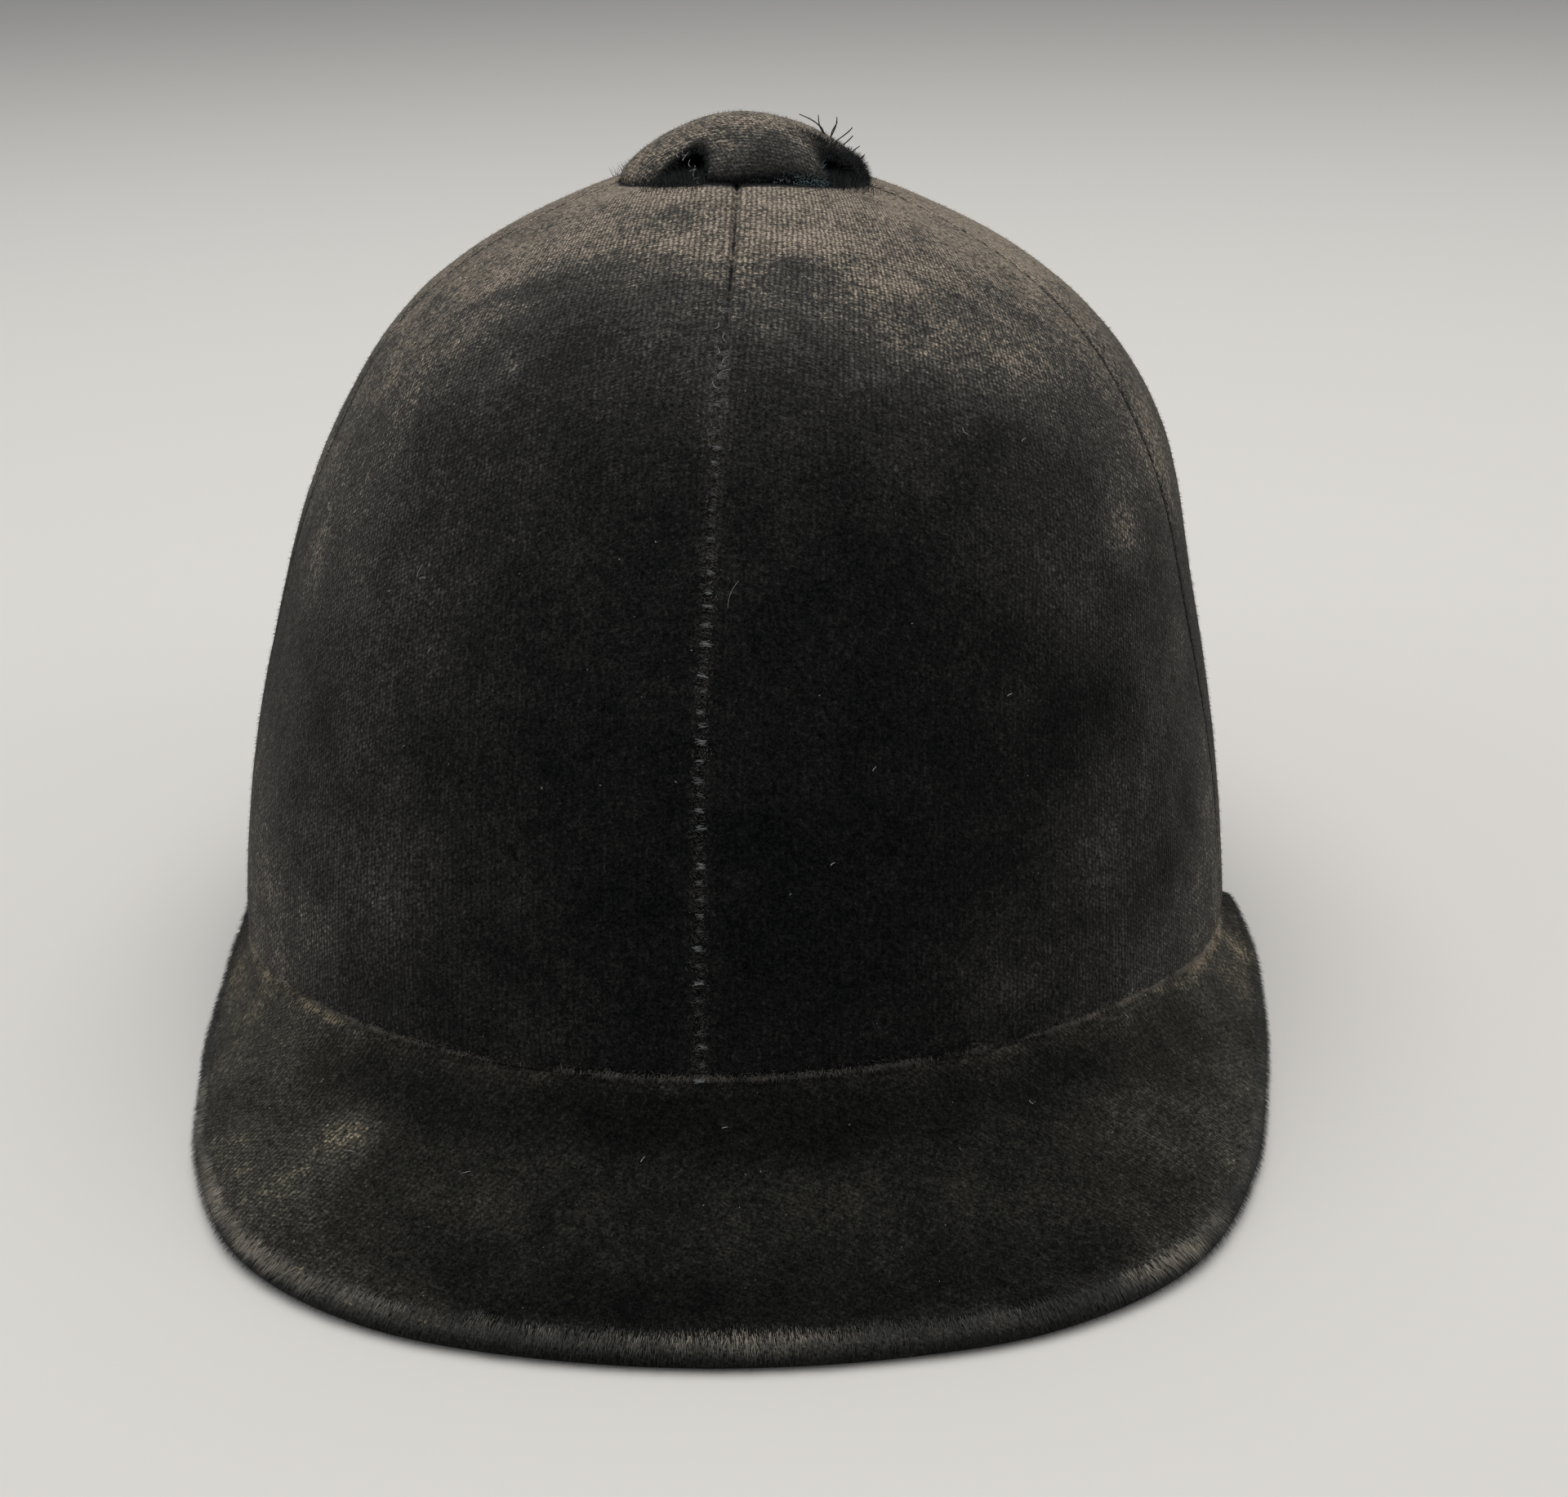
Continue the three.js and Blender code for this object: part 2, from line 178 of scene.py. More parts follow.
# Rubbed and dark places on the crown: where they are, how wide and high, and how much more
# worn they are than the velvet round them.
CROWN_MARKS = table("around level wide high wear", (
    (-35.8, 57.6, 4, 4, 0.16), (-28, 61, 10, 12, -0.28), (-46, 65.5, 9, 6, -0.24),
    (-26, 70, 13, 6, -0.25), (-60, 59, 8, 6, -0.08), (-15, 51, 8, 6, -0.08), (-9, 36, 6, 7, 0.13),
    (-39, 38, 9, 6, 0.09), (-18, 68, 22, 8, -0.14), (-50, 63, 9, 6, -0.1), (-52, 66, 12, 9, 0.08),
    (39.2, 57, 14, 6, 0.12), (36, 65, 22, 8, 0.16), (30, 72, 16, 5, 0.12),
    (20.8, 69.3, 5.5, 5, -0.25), (66, 59.5, 10, 8, -0.15), (86, 72, 14, 7, 0.1),
    (73, 44, 8, 9, 0.1), (70, 17, 8, 10, 0.1), (-71, 60, 11, 9, -0.12), (-3, 48, 8, 8, -0.06),
    (67, 29, 5, 6, 0.08), (-47, 62.5, 5, 4, 0.12), (-22, 72.5, 6, 4, 0.1), (58, 43, 7, 6, 0.12),
    (46, 29, 6, 7, -0.09), (56, 22.5, 6, 6, -0.1), (36, 52, 8, 5, -0.14),
    (33.8, 52.4, 2.4, 2.4, 0.14), (26, 48.2, 2.6, 2, 0.14), (54.2, 41, 4, 6, 0.14),
    (42.5, 38.2, 8, 9, 0.1), (68, 41, 8, 10, 0.12), (85, 62, 16, 16, 0.12), (40, 31, 10, 7, -0.24),
    (44, 27.4, 6, 6, -0.08), (43, 20, 8, 9, 0.08), (55.2, 15.6, 5, 6, -0.16), (48, 9, 8, 4, 0.12),
    (29.8, 14.4, 8, 4, 0.16), (-38.2, 49.6, 10, 8, 0.06), (-25, 40, 6, 7, -0.08),
    (-31, 28, 7, 7, -0.14), (-43, 30, 8, 12, 0.1), (-62, 37, 8, 8, 0.1), (-47, 14, 10, 9, 0.14),
    (-37.2, 12.2, 7, 5, -0.06), (-13, 14, 9, 6, 0.1), (125, 40, 22, 18, 0.14),
    (-140, 30, 24, 14, 0.14), (172, 20, 18, 10, 0.12), (-105, 50, 16, 10, 0.1),
    (150, 55, 20, 10, -0.1), (-66, 69, 20, 5, -0.12), (-54, 75, 20, 5, -0.11),
    (-18.8, 76.8, 8, 9, -0.16), (-24.8, 69, 10, 5, 0.08), (-34, 64.4, 10, 3.4, -0.12),
    (-58.8, 62.2, 17, 3.4, -0.08), (-53.8, 50.8, 10, 5.3, -0.09), (-27, 54.4, 5.7, 5.5, -0.12),
    (-15.2, 57.4, 5.4, 3.4, -0.08), (-9.2, 53.4, 6.3, 6.9, -0.05), (-5.2, 64, 4.4, 4.1, -0.08),
    (-31.8, 46.6, 9.6, 6.3, -0.09), (-40.8, 40.8, 7.6, 4.4, 0.11), (11.8, 58.8, 4.5, 4.2, -0.13),
    (17.5, 66, 4.2, 5.3, -0.09), (36.5, 64, 11.8, 3.4, -0.14), (32.2, 60.2, 8.8, 3.5, 0.11),
    (35.8, 53, 6.4, 3.3, 0.13), (51, 55, 8.4, 3.4, 0.12), (67.8, 53, 12, 4.8, -0.05),
    (55, 39.8, 10.4, 4.6, 0.19), (41, 41.6, 5, 5, -0.09), (50.2, 29.2, 6.2, 6.5, -0.2),
    (36.2, 31.8, 6.2, 3.7, 0.15), (39, 26.8, 6.6, 6.3, -0.18), (30.5, 30, 5.5, 4.3, -0.08),
    (61.8, 17.8, 6.3, 8.5, -0.22), (54.5, 15.8, 6.6, 4.1, -0.15), (48.2, 14.2, 6.8, 5.4, -0.14),
    (39, 12.4, 7.3, 4, -0.11), (-45, 17, 6.9, 4, -0.16), (-34.2, 18.4, 5.4, 3.9, 0.14),
    (-29, 14.6, 4.5, 10.3, -0.11), (10.2, 38.2, 5.5, 5.4, -0.06), (-34, 26.4, 7.2, 3.8, 0.08),
    (16, 28.6, 3.8, 4.8, 0.06), (-9.2, 28.4, 4.9, 2.6, -0.06), (-51.2, 27.4, 7.1, 6.7, -0.1),
    (-58.8, 67, 20, 3, -0.08), (-42.8, 73.2, 16, 4, -0.09), (-11.5, 74.2, 5.6, 6.3, -0.07),
    (-52, 56.6, 13, 4, -0.05), (-52.2, 43.4, 6.2, 6.6, -0.04), (-21.5, 51.4, 5.8, 5.2, -0.05),
    (7, 57.6, 6.2, 4, -0.07), (2.5, 61.2, 2.5, 7.4, -0.07), (47.5, 58.4, 5.1, 3.6, 0.1),
    (52.2, 53.4, 8.6, 2.7, 0.09), (30, 25.4, 6.2, 3.7, -0.08), (12.5, 25.4, 3.7, 4.8, -0.06),
    (33.2, 20.6, 6.6, 3.1, -0.07), (34.5, 11.8, 8.4, 3.9, -0.06), (-33.8, 10, 4.4, 2.7, -0.07),
    (-2.2, 40.2, 3, 4.8, -0.06), (-23.8, 24.4, 8.9, 4.9, 0.05),
))

# How worn the peak's pile is, from the seam at 0 to the top of the roll at 1 and round the roll
# to 2: in the middle and at the sides. Round the roll the values also hold a painted highlight
# along its top and painted bounce light from the floor below it.
PEAK_WEAR_AND_ROLL_LIGHT = table("share middle side", (
    (0, 0.27, 0.56), (0.1, 0.17, 0.5), (0.2, 0.1, 0.44), (0.3, 0.11, 0.44), (0.42, 0.23, 0.48),
    (0.56, 0.28, 0.52), (0.7, 0.2, 0.54), (0.84, 0.13, 0.54), (0.93, 0.2, 0.58), (0.98, 0.42, 0.62),
    (1.05, 0.66, 0.68), (1.2, 0.5, 0.5), (1.36, 0.3, 0.34), (2, 0.12, 0.16),
))
PEAK_SIDE_BEARING = 38.0
PEAK_MARKS = table("bearing share wide high wear", (
    (-27, 0.45, 5, 4.5, 0.3), (-30, 0.75, 13, 9, 0.26), (-50, 0.12, 14, 8, 0.16),
    (69, 0.27, 11, 9, 0.34), (60, 0.5, 8, 8, 0.12), (-64.5, 0.3, 11, 9, 0.32),
    (-55.5, 0.52, 9, 8, 0.14), (-38.5, 0.85, 9, 6, 0.1), (40, 0.88, 8, 6, 0.12),
    (33, 0.9, 6, 5, -0.1), (-16, 0.7, 8, 6, -0.1), (24, 0.78, 9, 7, -0.12), (18, 0.89, 8, 4, -0.1),
    (31.5, 0.55, 8, 6, 0.08), (25, 0.47, 12, 5, -0.06), (-14, 0.59, 8, 5, 0.12),
    (2, 0.68, 14, 4, 0.08), (8, 0.5, 8, 3, 0.1), (-20, 0.3, 12, 5, -0.1), (30, 0.22, 12, 6, -0.16),
    (-40, 0.35, 9, 6, 0.1), (-48, 0.7, 10, 8, 0.14), (47, 0.75, 10, 8, 0.1),
    (14, 0.92, 22, 3, 0.05), (-41, 0.08, 11, 5.5, 0.08), (-39, 0.53, 9, 8, 0.05),
    (-13.5, 0.15, 7, 4, 0.09), (-9.5, 0.37, 7, 2.4, 0.15), (-17.5, 0.51, 5.5, 3.2, -0.11),
    (-10.5, 0.64, 5, 5, -0.08), (4, 0.71, 10, 3, -0.09), (20, 0.54, 7, 4, -0.1),
    (28, 0.64, 7, 5, -0.11), (23.5, 0.9, 8, 4, -0.12), (35, 0.59, 6, 4, -0.14),
    (39.5, 0.27, 5, 3, -0.1), (51, 0.03, 10, 7, 0.19), (18.5, 0.97, 5, 2, -0.3),
    (11, 0.19, 8, 4, -0.05), (24, 0.27, 5, 2, -0.12), (26.5, 0.46, 4, 2.5, 0.12),
    (-21, 0.95, 5, 4, 0.12), (-27, 0.47, 5, 3.5, 0.1),
    (-35.5, 0.02, 8, 4.5, 0.14), (-51.5, 0.03, 12, 8, 0.09), (-28.5, 0.66, 4, 5, 0.12),
    (-12.5, 0.32, 7, 3.5, 0.09), (-1.5, 0.41, 5.5, 3, 0.09), (0, 0.54, 3.5, 2.5, -0.08),
    (10, 0.56, 3.2, 5, 0.05), (57.5, 0.02, 12, 7, 0.2), (41, 0.05, 10, 4.5, 0.14),
    (30.5, 0.75, 4, 3, 0.06), (-22, 0.41, 7, 3.5, 0.09), (-11, 0.95, 7, 3, -0.15),
    (-4.5, 0.95, 4, 2, -0.1), (9.5, 0.95, 7, 3, -0.1), (27.5, 1, 5, 4, 0.1),
))

# Lighter and darker stretches of the painted highlight on the roll's brushed nap: where they are,
# how many degrees wide and how much they add to it.
ROLL_HIGHLIGHT_MARKS = table("bearing wide wear", (
    (-34, 5, 0.1), (-9.5, 5, -0.22), (2.5, 4, 0.15), (10.5, 4, -0.22), (20, 3.5, -0.26),
    (30, 4, 0.08), (36, 3, -0.1),
))

# Dents and small creases of the crown: depth is inwards.
CROWN_DENTS = table("around level wide high depth", (
    (-36.5, 12.6, 6, 3.5, 0.8), (29.4, 14.0, 1.4, 4.5, -0.35), (27.8, 13.4, 1.6, 4.5, 0.35),
    (58, 45, 20, 22, 0.5), (-60, 34, 18, 20, 0.5), (140, 32, 26, 22, 0.6), (-128, 48, 22, 18, 0.6),
))

# How much fuzz stands along the peak's seam, by the angle round the crown.
RIM_FUZZ = table("around strength", (
    (-78, 0), (-66, 0.3), (-52, 0.4), (-42, 0.3), (-38, 0.9), (-33, 0.8), (-29, 0.3),
    (-24, 0.45), (-19, 0.15), (-15, 0.6), (-8, 1.0), (10, 1.0), (35, 1.0), (52, 1.0),
    (62, 0.8), (72, 0.3), (80, 0),
))

# Bits of lint on the crown: where they lie, their length, the way they point and how bent.
CROWN_LINT = table("around level length heading bend", (
    (-38.2, 40.6, 2.2, 80, 0.5), (-37.6, 40.2, 1.3, 20, 0.4), (-34, 35.6, 0.9, 60, 0.2),
    (42, 50, 1.4, 15, 0.3), (32.5, 32.4, 1.0, 10, 0.2), (16.5, 29.6, 0.9, 40, 0.2),
    (-58.2, 7.6, 1.1, 120, 0.3), (1.0, 41.9, 4.4, 68, 0.25), (0.6, 59.2, 2.6, 40, 0.6),
    (-0.6, 58.2, 1.8, 130, 0.5), (0.9, 62.5, 2.2, 95, 0.5), (-0.8, 63.6, 1.7, 70, -0.4),
    (0.2, 65.2, 1.9, 110, 0.5), (-0.5, 61.2, 1.5, 85, -0.5), (0.8, 60.4, 1.8, 60, 0.4),
    (-35, 57.8, 1.5, 75, 0.5), (33.5, 52, 1.2, 100, 0.3), (12, 24, 0.8, 30, 0.2),
    (118, 34, 2.4, 60, 0.5), (-152, 46, 1.8, 20, 0.4),
))
PEAK_LINT = table("bearing share length heading bend", (
    (-16.5, 0.49, 1.5, 25, 0.2), (-4.5, 0.34, 1.0, 60, 0.2), (1, 0.2, 0.9, 10, 0.2),
    (-26, 0.53, 1.3, 10, 0.3), (24, 0.3, 0.9, 120, 0.2), (-33, 0.36, 0.8, 80, 0.2),
))

# The broken threads that stand up from the vent on the wearer's left. Their foot is given by its
# bearing and reach on the button, and their tip by its place against the foot.
FRAYED_THREADS = table("bearing reach across back rise bend", (
    (94, 14.9, -4.7, 0.4, 3.6, 0.9), (96, 15.2, -1.6, 0.8, 3.5, -0.6),
    (92, 15.5, 1.3, -0.2, 3.5, 0.5), (96, 15.8, 1.2, 0.5, 2.6, -0.5),
    (90, 16.3, 3.2, 0.2, 2.2, 0.8), (97, 14.6, -1.4, -0.5, 1.9, 0.4),
    (88, 17.4, 2.2, 0.6, 1.6, 0.4), (86, 18.9, 1.9, -0.4, 1.2, -0.3),
    (84, 20.2, 1.5, 0.3, 1.0, 0.4),
))

# Bits of lint caught in the vent on the wearer's right, by their bearing and reach on the button.
VENT_LINT = table("bearing reach length heading bend", (
    (-37.5, 15.6, 1.5, 100, 0.7), (-35, 16.3, 1.3, 30, -0.6), (-39, 16.8, 1.1, 150, 0.5),
    (-33, 17.2, 1.2, 80, 0.6), (-27.5, 18.1, 1.6, 115, 0.5), (-25, 18.9, 1.4, 60, -0.6),
    (-22.5, 19.6, 1.7, 95, 0.5), (-20.5, 20.4, 1.2, 20, 0.6), (-19, 20.9, 1.0, 140, 0.4),
))

# The seams' stitches: which seam, the levels they run between, their thread, how many strands each
# has, the strands' width, rise, thickness and looseness, and how deep they lie.
SEAM_STITCHES = table("name seam low high thread strands width rise thickness loose sink", (
    ("front_seam_stitches", "front", 11.2, 66.0, "pale_thread", 11, 1.45, 0.75, 0.021, 0.34, 0.3),
    ("left_seam_stitches", "left", 5.8, 80.0, "dark_thread", 2, 1.0, 0.15, 0.08, 0.06, 0.5),
    ("right_seam_stitches", "right", 5.8, 80.0, "dark_thread", 2, 1.0, 0.15, 0.08, 0.06, 0.5),
    ("back_seam_stitches", "back_from_left", 1.5, 80.0, "dark_thread", 2, 1.0, 0.15, 0.08, 0.06, 0.5),
))

# The studio in metres: half the floor's width, the height that the soft lamps aim at, and the
# lamps' sizes and places.
FLOOR_HALF = 4.0
LAMP_AIM_HEIGHT = 0.08
LAMPS = table("name size power place colour", (
    ("overhead_lamp", 1.7, 28.0, (0.0, 0.2, 1.6), (1.0, 0.98, 0.95)),
    ("left_lamp", 0.9, 2.4, (-1.2, -0.5, 0.9), (0.93, 0.97, 1.0)),
    ("right_lamp", 0.9, 2.4, (1.2, -0.3, 0.8), (1.0, 0.98, 0.95)),
))


# Shape functions


def read_table(rows, key, column, at):
    """Reads a column of a table at any value of its key, by a smooth curve through the rows."""
    keys = np.array([getattr(row, key) for row in rows], float)
    values = np.array([getattr(row, column) for row in rows], float)
    before = np.maximum(np.arange(len(keys)) - 1, 0)
    after = np.minimum(np.arange(len(keys)) + 1, len(keys) - 1)
    slopes = (values[after] - values[before]) / (keys[after] - keys[before])
    wanted = np.clip(at, keys[0], keys[-1])
    i = np.clip(np.searchsorted(keys, wanted) - 1, 0, len(keys) - 2)
    span = keys[i + 1] - keys[i]
    t = (wanted - keys[i]) / span
    low = (2 * t**3 - 3 * t**2 + 1) * values[i] + (t**3 - 2 * t**2 + t) * span * slopes[i]
    high = (3 * t**2 - 2 * t**3) * values[i + 1] + (t**3 - t**2) * span * slopes[i + 1]
    return low + high


def blend(low, high, share):
    return low + (high - low) * share


def ease(share):
    """A smooth step from 0 to 1."""
    share = np.clip(share, 0, 1)
    return share * share * (3 - 2 * share)


def bell(distance, width):
    return np.exp(-((distance / width) ** 2))


def unit(vectors):
    return vectors / np.linalg.norm(vectors, axis=-1, keepdims=True)


def outward_at(bearing):
    """The level direction away from the crown's axis, at a bearing or at each of several."""
    turn = np.radians(bearing)
    return np.stack([np.sin(turn), -np.cos(turn), np.zeros_like(turn)], axis=-1)


def sideways_at(bearing):
    """The level direction round the crown's axis, at a bearing."""
    turn = np.radians(bearing)
    return np.array([np.cos(turn), np.sin(turn), 0.0])


def section_at(level):
    """How far the crown reaches at a level: sideways, fore and aft, and its drift."""
    return [read_table(CROWN_SECTIONS, "level", column, level) for column in ("side", "fore", "aft", "drift")]


def crown_point(around, level):
    """A point of the crown's outer face, from its angle round the crown and its level."""
    turn = np.radians(around)
    rise = np.radians(level)
    side, fore, aft, drift = section_at(level)
    lengthwise = np.where(np.cos(turn) > 0, fore, aft)
    x = drift + CROWN_HALF_WIDTH * side * np.cos(rise) * np.sin(turn)
    y = CROWN_LEAN_BACK * np.sin(rise) - CROWN_HALF_LENGTH * lengthwise * np.cos(rise) * np.cos(turn)
    return np.stack([x, y, CROWN_HEIGHT * np.sin(rise)], axis=-1)


def crown_normal(around, level):
    across = crown_point(around + MEASURING_STEP, level) - crown_point(around - MEASURING_STEP, level)
    up = crown_point(around, level + MEASURING_STEP) - crown_point(around, level - MEASURING_STEP)
    return unit(np.cross(across, up))


def rim_level(around):
    """The level of the crown's lower edge."""
    height = np.maximum(0, read_table(RIM_LINE, "around", "height", np.abs(around)))
    return np.degrees(np.arcsin(height / CROWN_HEIGHT))


def vent_level(around):
    """The level at which the crown closes in to its vent hole below the button."""
    top = CROWN_SECTIONS[-1]
    turn = np.radians(around)
    lengthwise = np.where(np.cos(turn) > 0, top.fore, top.aft)
    wide = CROWN_HALF_WIDTH * top.side * np.sin(turn)
    long = CROWN_HALF_LENGTH * lengthwise * np.cos(turn)
    return np.degrees(np.arccos(CROWN_VENT_RADIUS / np.hypot(wide, long)))


def seam_angle(seam, level):
    if seam in BACK_SEAMS:
        return np.full_like(level, BACK_SEAMS[seam])
    return read_table(CROWN_SEAMS, "level", seam, level)


def crown_height_at(x, y):
    """The crown's height at a place near its top, found by closing in on the level there."""
    level = np.full_like(x, CROWN_SECTIONS[-2].level)
    for _ in range(CLOSING_ROUNDS):
        side, fore, aft, drift = section_at(level)
        forward = CROWN_LEAN_BACK * np.sin(np.radians(level)) - y
        wide = (x - drift) / (CROWN_HALF_WIDTH * side)
        long = forward / (CROWN_HALF_LENGTH * np.where(forward > 0, fore, aft))
        level = np.degrees(np.arccos(np.minimum(1, np.hypot(wide, long))))
    return CROWN_HEIGHT * np.sin(np.radians(level))


def unevenness(points, size, seed):
    """A smooth random value from about -1 to 1 at each point, for lumps of the given size."""
    shift = Vector((seed * 17.3, seed * 5.9, seed * 11.1))
    flat = points.reshape(-1, 3) / size
    values = [noise.noise(Vector(point) + shift) for point in flat.tolist()]
    return np.array(values).reshape(points.shape[:-1])


# How far the cap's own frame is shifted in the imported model.

BUTTON_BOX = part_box("top_button")
FRAME_SHIFT = np.array([
    (BUTTON_BOX[0][0] + BUTTON_BOX[1][0]) / 2 / MILLIMETRE - BUTTON_DRIFT,
    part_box("crown_panel_rear_left")[1][1] / MILLIMETRE - crown_point(180.0, 0.0)[1],
    0.0,
])


def to_metres(points):
    return (np.asarray(points, float) + FRAME_SHIFT) * MILLIMETRE


# Meshes


class Shape:
    """Points in millimetres, faces, and the values that are kept at each point."""

    def __init__(self, points, faces, **values):
        self.points = np.asarray(points, float).reshape(-1, 3)
        self.faces = [tuple(face) for face in faces]
        self.values = values

    def with_values(self, **values):
        """The same points and faces with other values."""
        return Shape(self.points, self.faces, **values)


def keep_values(mesh, values):
    """Keeps values at a mesh's points: numbers, or vectors where they have three parts."""
    for key, value in values.items():
        value = np.asarray(value, np.float32)
        kind, part = ("FLOAT_VECTOR", "vector") if value.ndim == 2 else ("FLOAT", "value")
        mesh.attributes.new(key, kind, "POINT").data.foreach_set(part, value.ravel())


def drop_values(piece, *keys):
    for key in keys:
        piece.data.attributes.remove(piece.data.attributes[key])


def make_mesh(name, shape, weld=False):
    mesh = bpy.data.meshes.new(name)
    mesh.from_pydata(to_metres(shape.points).tolist(), [], shape.faces)
    keep_values(mesh, shape.values)
    if weld:
        work = bmesh.new()
        work.from_mesh(mesh)
        bmesh.ops.remove_doubles(work, verts=work.verts, dist=WELD_DISTANCE)
        bmesh.ops.dissolve_degenerate(work, edges=work.edges, dist=WELD_DISTANCE / 2)
        work.to_mesh(mesh)
        work.free()
    mesh.shade_smooth()
    mesh.validate()
    return mesh


def place(name, mesh, material=None):
    """Puts a mesh in the scene as a new object at the origin."""
    if name in bpy.context.scene.objects:
        raise RuntimeError(f"{name} was made before")
    piece = bpy.data.objects.new(name, mesh)
    bpy.context.scene.collection.objects.link(piece)
    if material is not None:
        mesh.materials.clear()
        mesh.materials.append(material)
    return piece


def finish_piece(piece, slot, *nodes):
    """Hands a finished piece over: its body and the nodes that it stands for. Its slot is not used."""
    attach(piece, BODY)
    if nodes:
        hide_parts(*nodes)


def grid_numbers(grid, start=0):
    """The numbers of a grid's points."""
    return start + np.arange(grid[..., 0].size).reshape(grid.shape[:2])


def grid_faces(numbers, flipped=False):
    """Four-sided faces of a grid of point numbers, whose rows go up and columns to the right."""
    corners = [numbers[:-1, :-1], numbers[:-1, 1:], numbers[1:, 1:], numbers[1:, :-1]]
    faces = np.stack(corners, axis=-1).reshape(-1, 4)
    return (faces[:, ::-1] if flipped else faces).tolist()


def hem_faces(fine, coarse):
    """Closes the strip between an edge and another one with half as many steps."""
    faces = []
    for k in range(len(coarse) - 1):
        start, middle, end = fine[2 * k : 2 * k + 3]
        faces.append((start, coarse[k], middle))
        faces.append((middle, coarse[k], coarse[k + 1]))
        faces.append((middle, coarse[k + 1], end))
    return faces


def ring_faces(rings, sides):
    """The faces of a closed tube whose points lie in rings."""
    faces = []
    for start in range(0, (rings - 1) * sides, sides):
        for side in range(sides):
            here = start + side
            after = start + (side + 1) % sides
            faces.append((here, after, after + sides, here + sides))
    faces.append(tuple(reversed(range(sides))))
    faces.append(tuple(range((rings - 1) * sides, rings * sides)))
    return faces


def on_face(value, face):
    """A grid of values, or one number for the whole face, as a list over the face's points."""
    spread = np.broadcast_to(value, face.shape[:2] + np.shape(value)[2:])
    return spread.reshape(-1, *spread.shape[2:])


def walled_shape(outer, inner, borders, **pairs):
    """A wall from its fine outer face and its plain inner one, closed along their borders. Each
    value is given as a pair, for the outer face and for the inner one."""
    outer_numbers = grid_numbers(outer)
    inner_numbers = grid_numbers(inner, outer_numbers.size)
    faces = grid_faces(outer_numbers) + grid_faces(inner_numbers, flipped=True)
    for border in borders:
        faces += hem_faces(outer_numbers[border].tolist(), inner_numbers[border].tolist())
    points = np.concatenate([outer.reshape(-1, 3), inner.reshape(-1, 3)])
    values = {
        key: np.concatenate([on_face(pair[0], outer), on_face(pair[1], inner)]) for key, pair in pairs.items()
    }
    inside = np.repeat([0.0, 1.0], [outer_numbers.size, inner_numbers.size])
    return Shape(points, faces, inside=inside, **values)


def join_shapes(shapes):
    """One shape from several, with the values that they hold."""
    points = np.concatenate([shape.points for shape in shapes])
    faces = []
    start = 0
    for shape in shapes:
        faces += [tuple(number + start for number in face) for face in shape.faces]
        start += len(shape.points)
    values = {
        key: np.concatenate([np.asarray(shape.values[key], float) for shape in shapes])
        for key in shapes[0].values
    }
    return Shape(points, faces, **values)


# The crown


PanelGrid = namedtuple("PanelGrid", "around level points normals from_first from_last from_rim from_front")


def panel_columns(settings):
    """The columns' shares across a panel, close together near the seams."""
    from_seam = np.array([0, 0.25, 0.5, 0.8, 1.15, 1.55, 2.05, 2.7, 3.6, 4.8, 6.2])
    near_seam = from_seam / settings.panel_width
    middle = np.linspace(near_seam[-1], 1 - near_seam[-1], settings.panel_columns + 1)[1:-1]
    return np.concatenate([near_seam, middle, 1 - near_seam[::-1]])


def panel_rows(settings):
    """The rows' shares up a panel, close together near the rim."""
    near_rim = np.array([0, 0.3, 0.65, 1.1, 1.7, 2.4]) / settings.panel_length
    return np.concatenate([near_rim, np.linspace(near_rim[-1], 1, settings.panel_rows + 1)[1:]])


def travelled(points, axis):
    """The distance along a grid of points from its first row or column."""
    steps = np.linalg.norm(np.diff(points, axis=axis), axis=-1)
    start = np.zeros_like(np.take(steps, [0], axis=axis))
    return np.cumsum(np.concatenate([start, steps], axis=axis), axis=axis)


def panel_grid(panel, columns, rows):
    across, up = np.meshgrid(columns, rows)
    level = blend(rim_level(0.0), vent_level(0.0), up)
    for _ in range(CLOSING_ROUNDS):
        around = blend(seam_angle(panel.first, level), seam_angle(panel.last, level), across)
        level = blend(rim_level(around), vent_level(around), up)
    points = crown_point(around, level)
    normals = crown_normal(around, level)
    from_first = travelled(points, 1)
    from_last = from_first[:, -1:] - from_first
    from_front = {panel.first: from_first, panel.last: from_last}.get("front")
    if from_front is None:
        from_front = np.full_like(from_first, FAR_AWAY)
    return PanelGrid(around, level, points, normals, from_first, from_last, travelled(points, 0), from_front)


def seam_sink(distance, along, settings):
    """How deep the velvet is drawn in beside a seam, more at each stitch."""
    stitch = 0.5 + 0.5 * np.cos(2 * math.pi * along / settings.stitch_pitch)
    groove = bell(distance, 0.48) * (0.85 + 0.3 * stitch)
    hollow = 0.35 * bell(distance, 2.2) * (0.6 + 0.4 * stitch)
    return settings.groove_depth * (groove + hollow)


def edge_sink(distance, settings):
    """How far the velvet turns in at an edge."""
    return settings.edge_turn * bell(distance, EDGE_TURN_REACH)


def marks_at(around, level, marks, column):
    """The sum of soft-edged marks at places on the crown."""
    points = crown_point(around, level)
    total = np.zeros_like(around)
    for mark in marks:
        middle = crown_point(mark.around, mark.level)
        round_way = unit(crown_point(mark.around + 1, mark.level) - middle)
        up_way = unit(crown_point(mark.around, mark.level + 1) - middle)
        apart = points - middle
        reach = ((apart @ round_way) / mark.wide) ** 2 + ((apart @ up_way) / mark.high) ** 2
        near = np.linalg.norm(apart, axis=-1) < MARK_REACH * max(mark.wide, mark.high)
        total = total + getattr(mark, column) * np.exp(-reach) * near
    return total


def from_button(points):
    """How far points lie from the button's middle, seen from above."""
    return np.hypot(points[..., 0] - BUTTON_DRIFT, points[..., 1] - CROWN_LEAN_BACK)


def keep_uneven(wear):
    """Brings bare places closer together, so that the cloth's own unevenness still shows there."""
    return np.where(wear > RUBBED_WEAR, blend(RUBBED_WEAR, wear, BARE_WEAR_SHARE), wear)


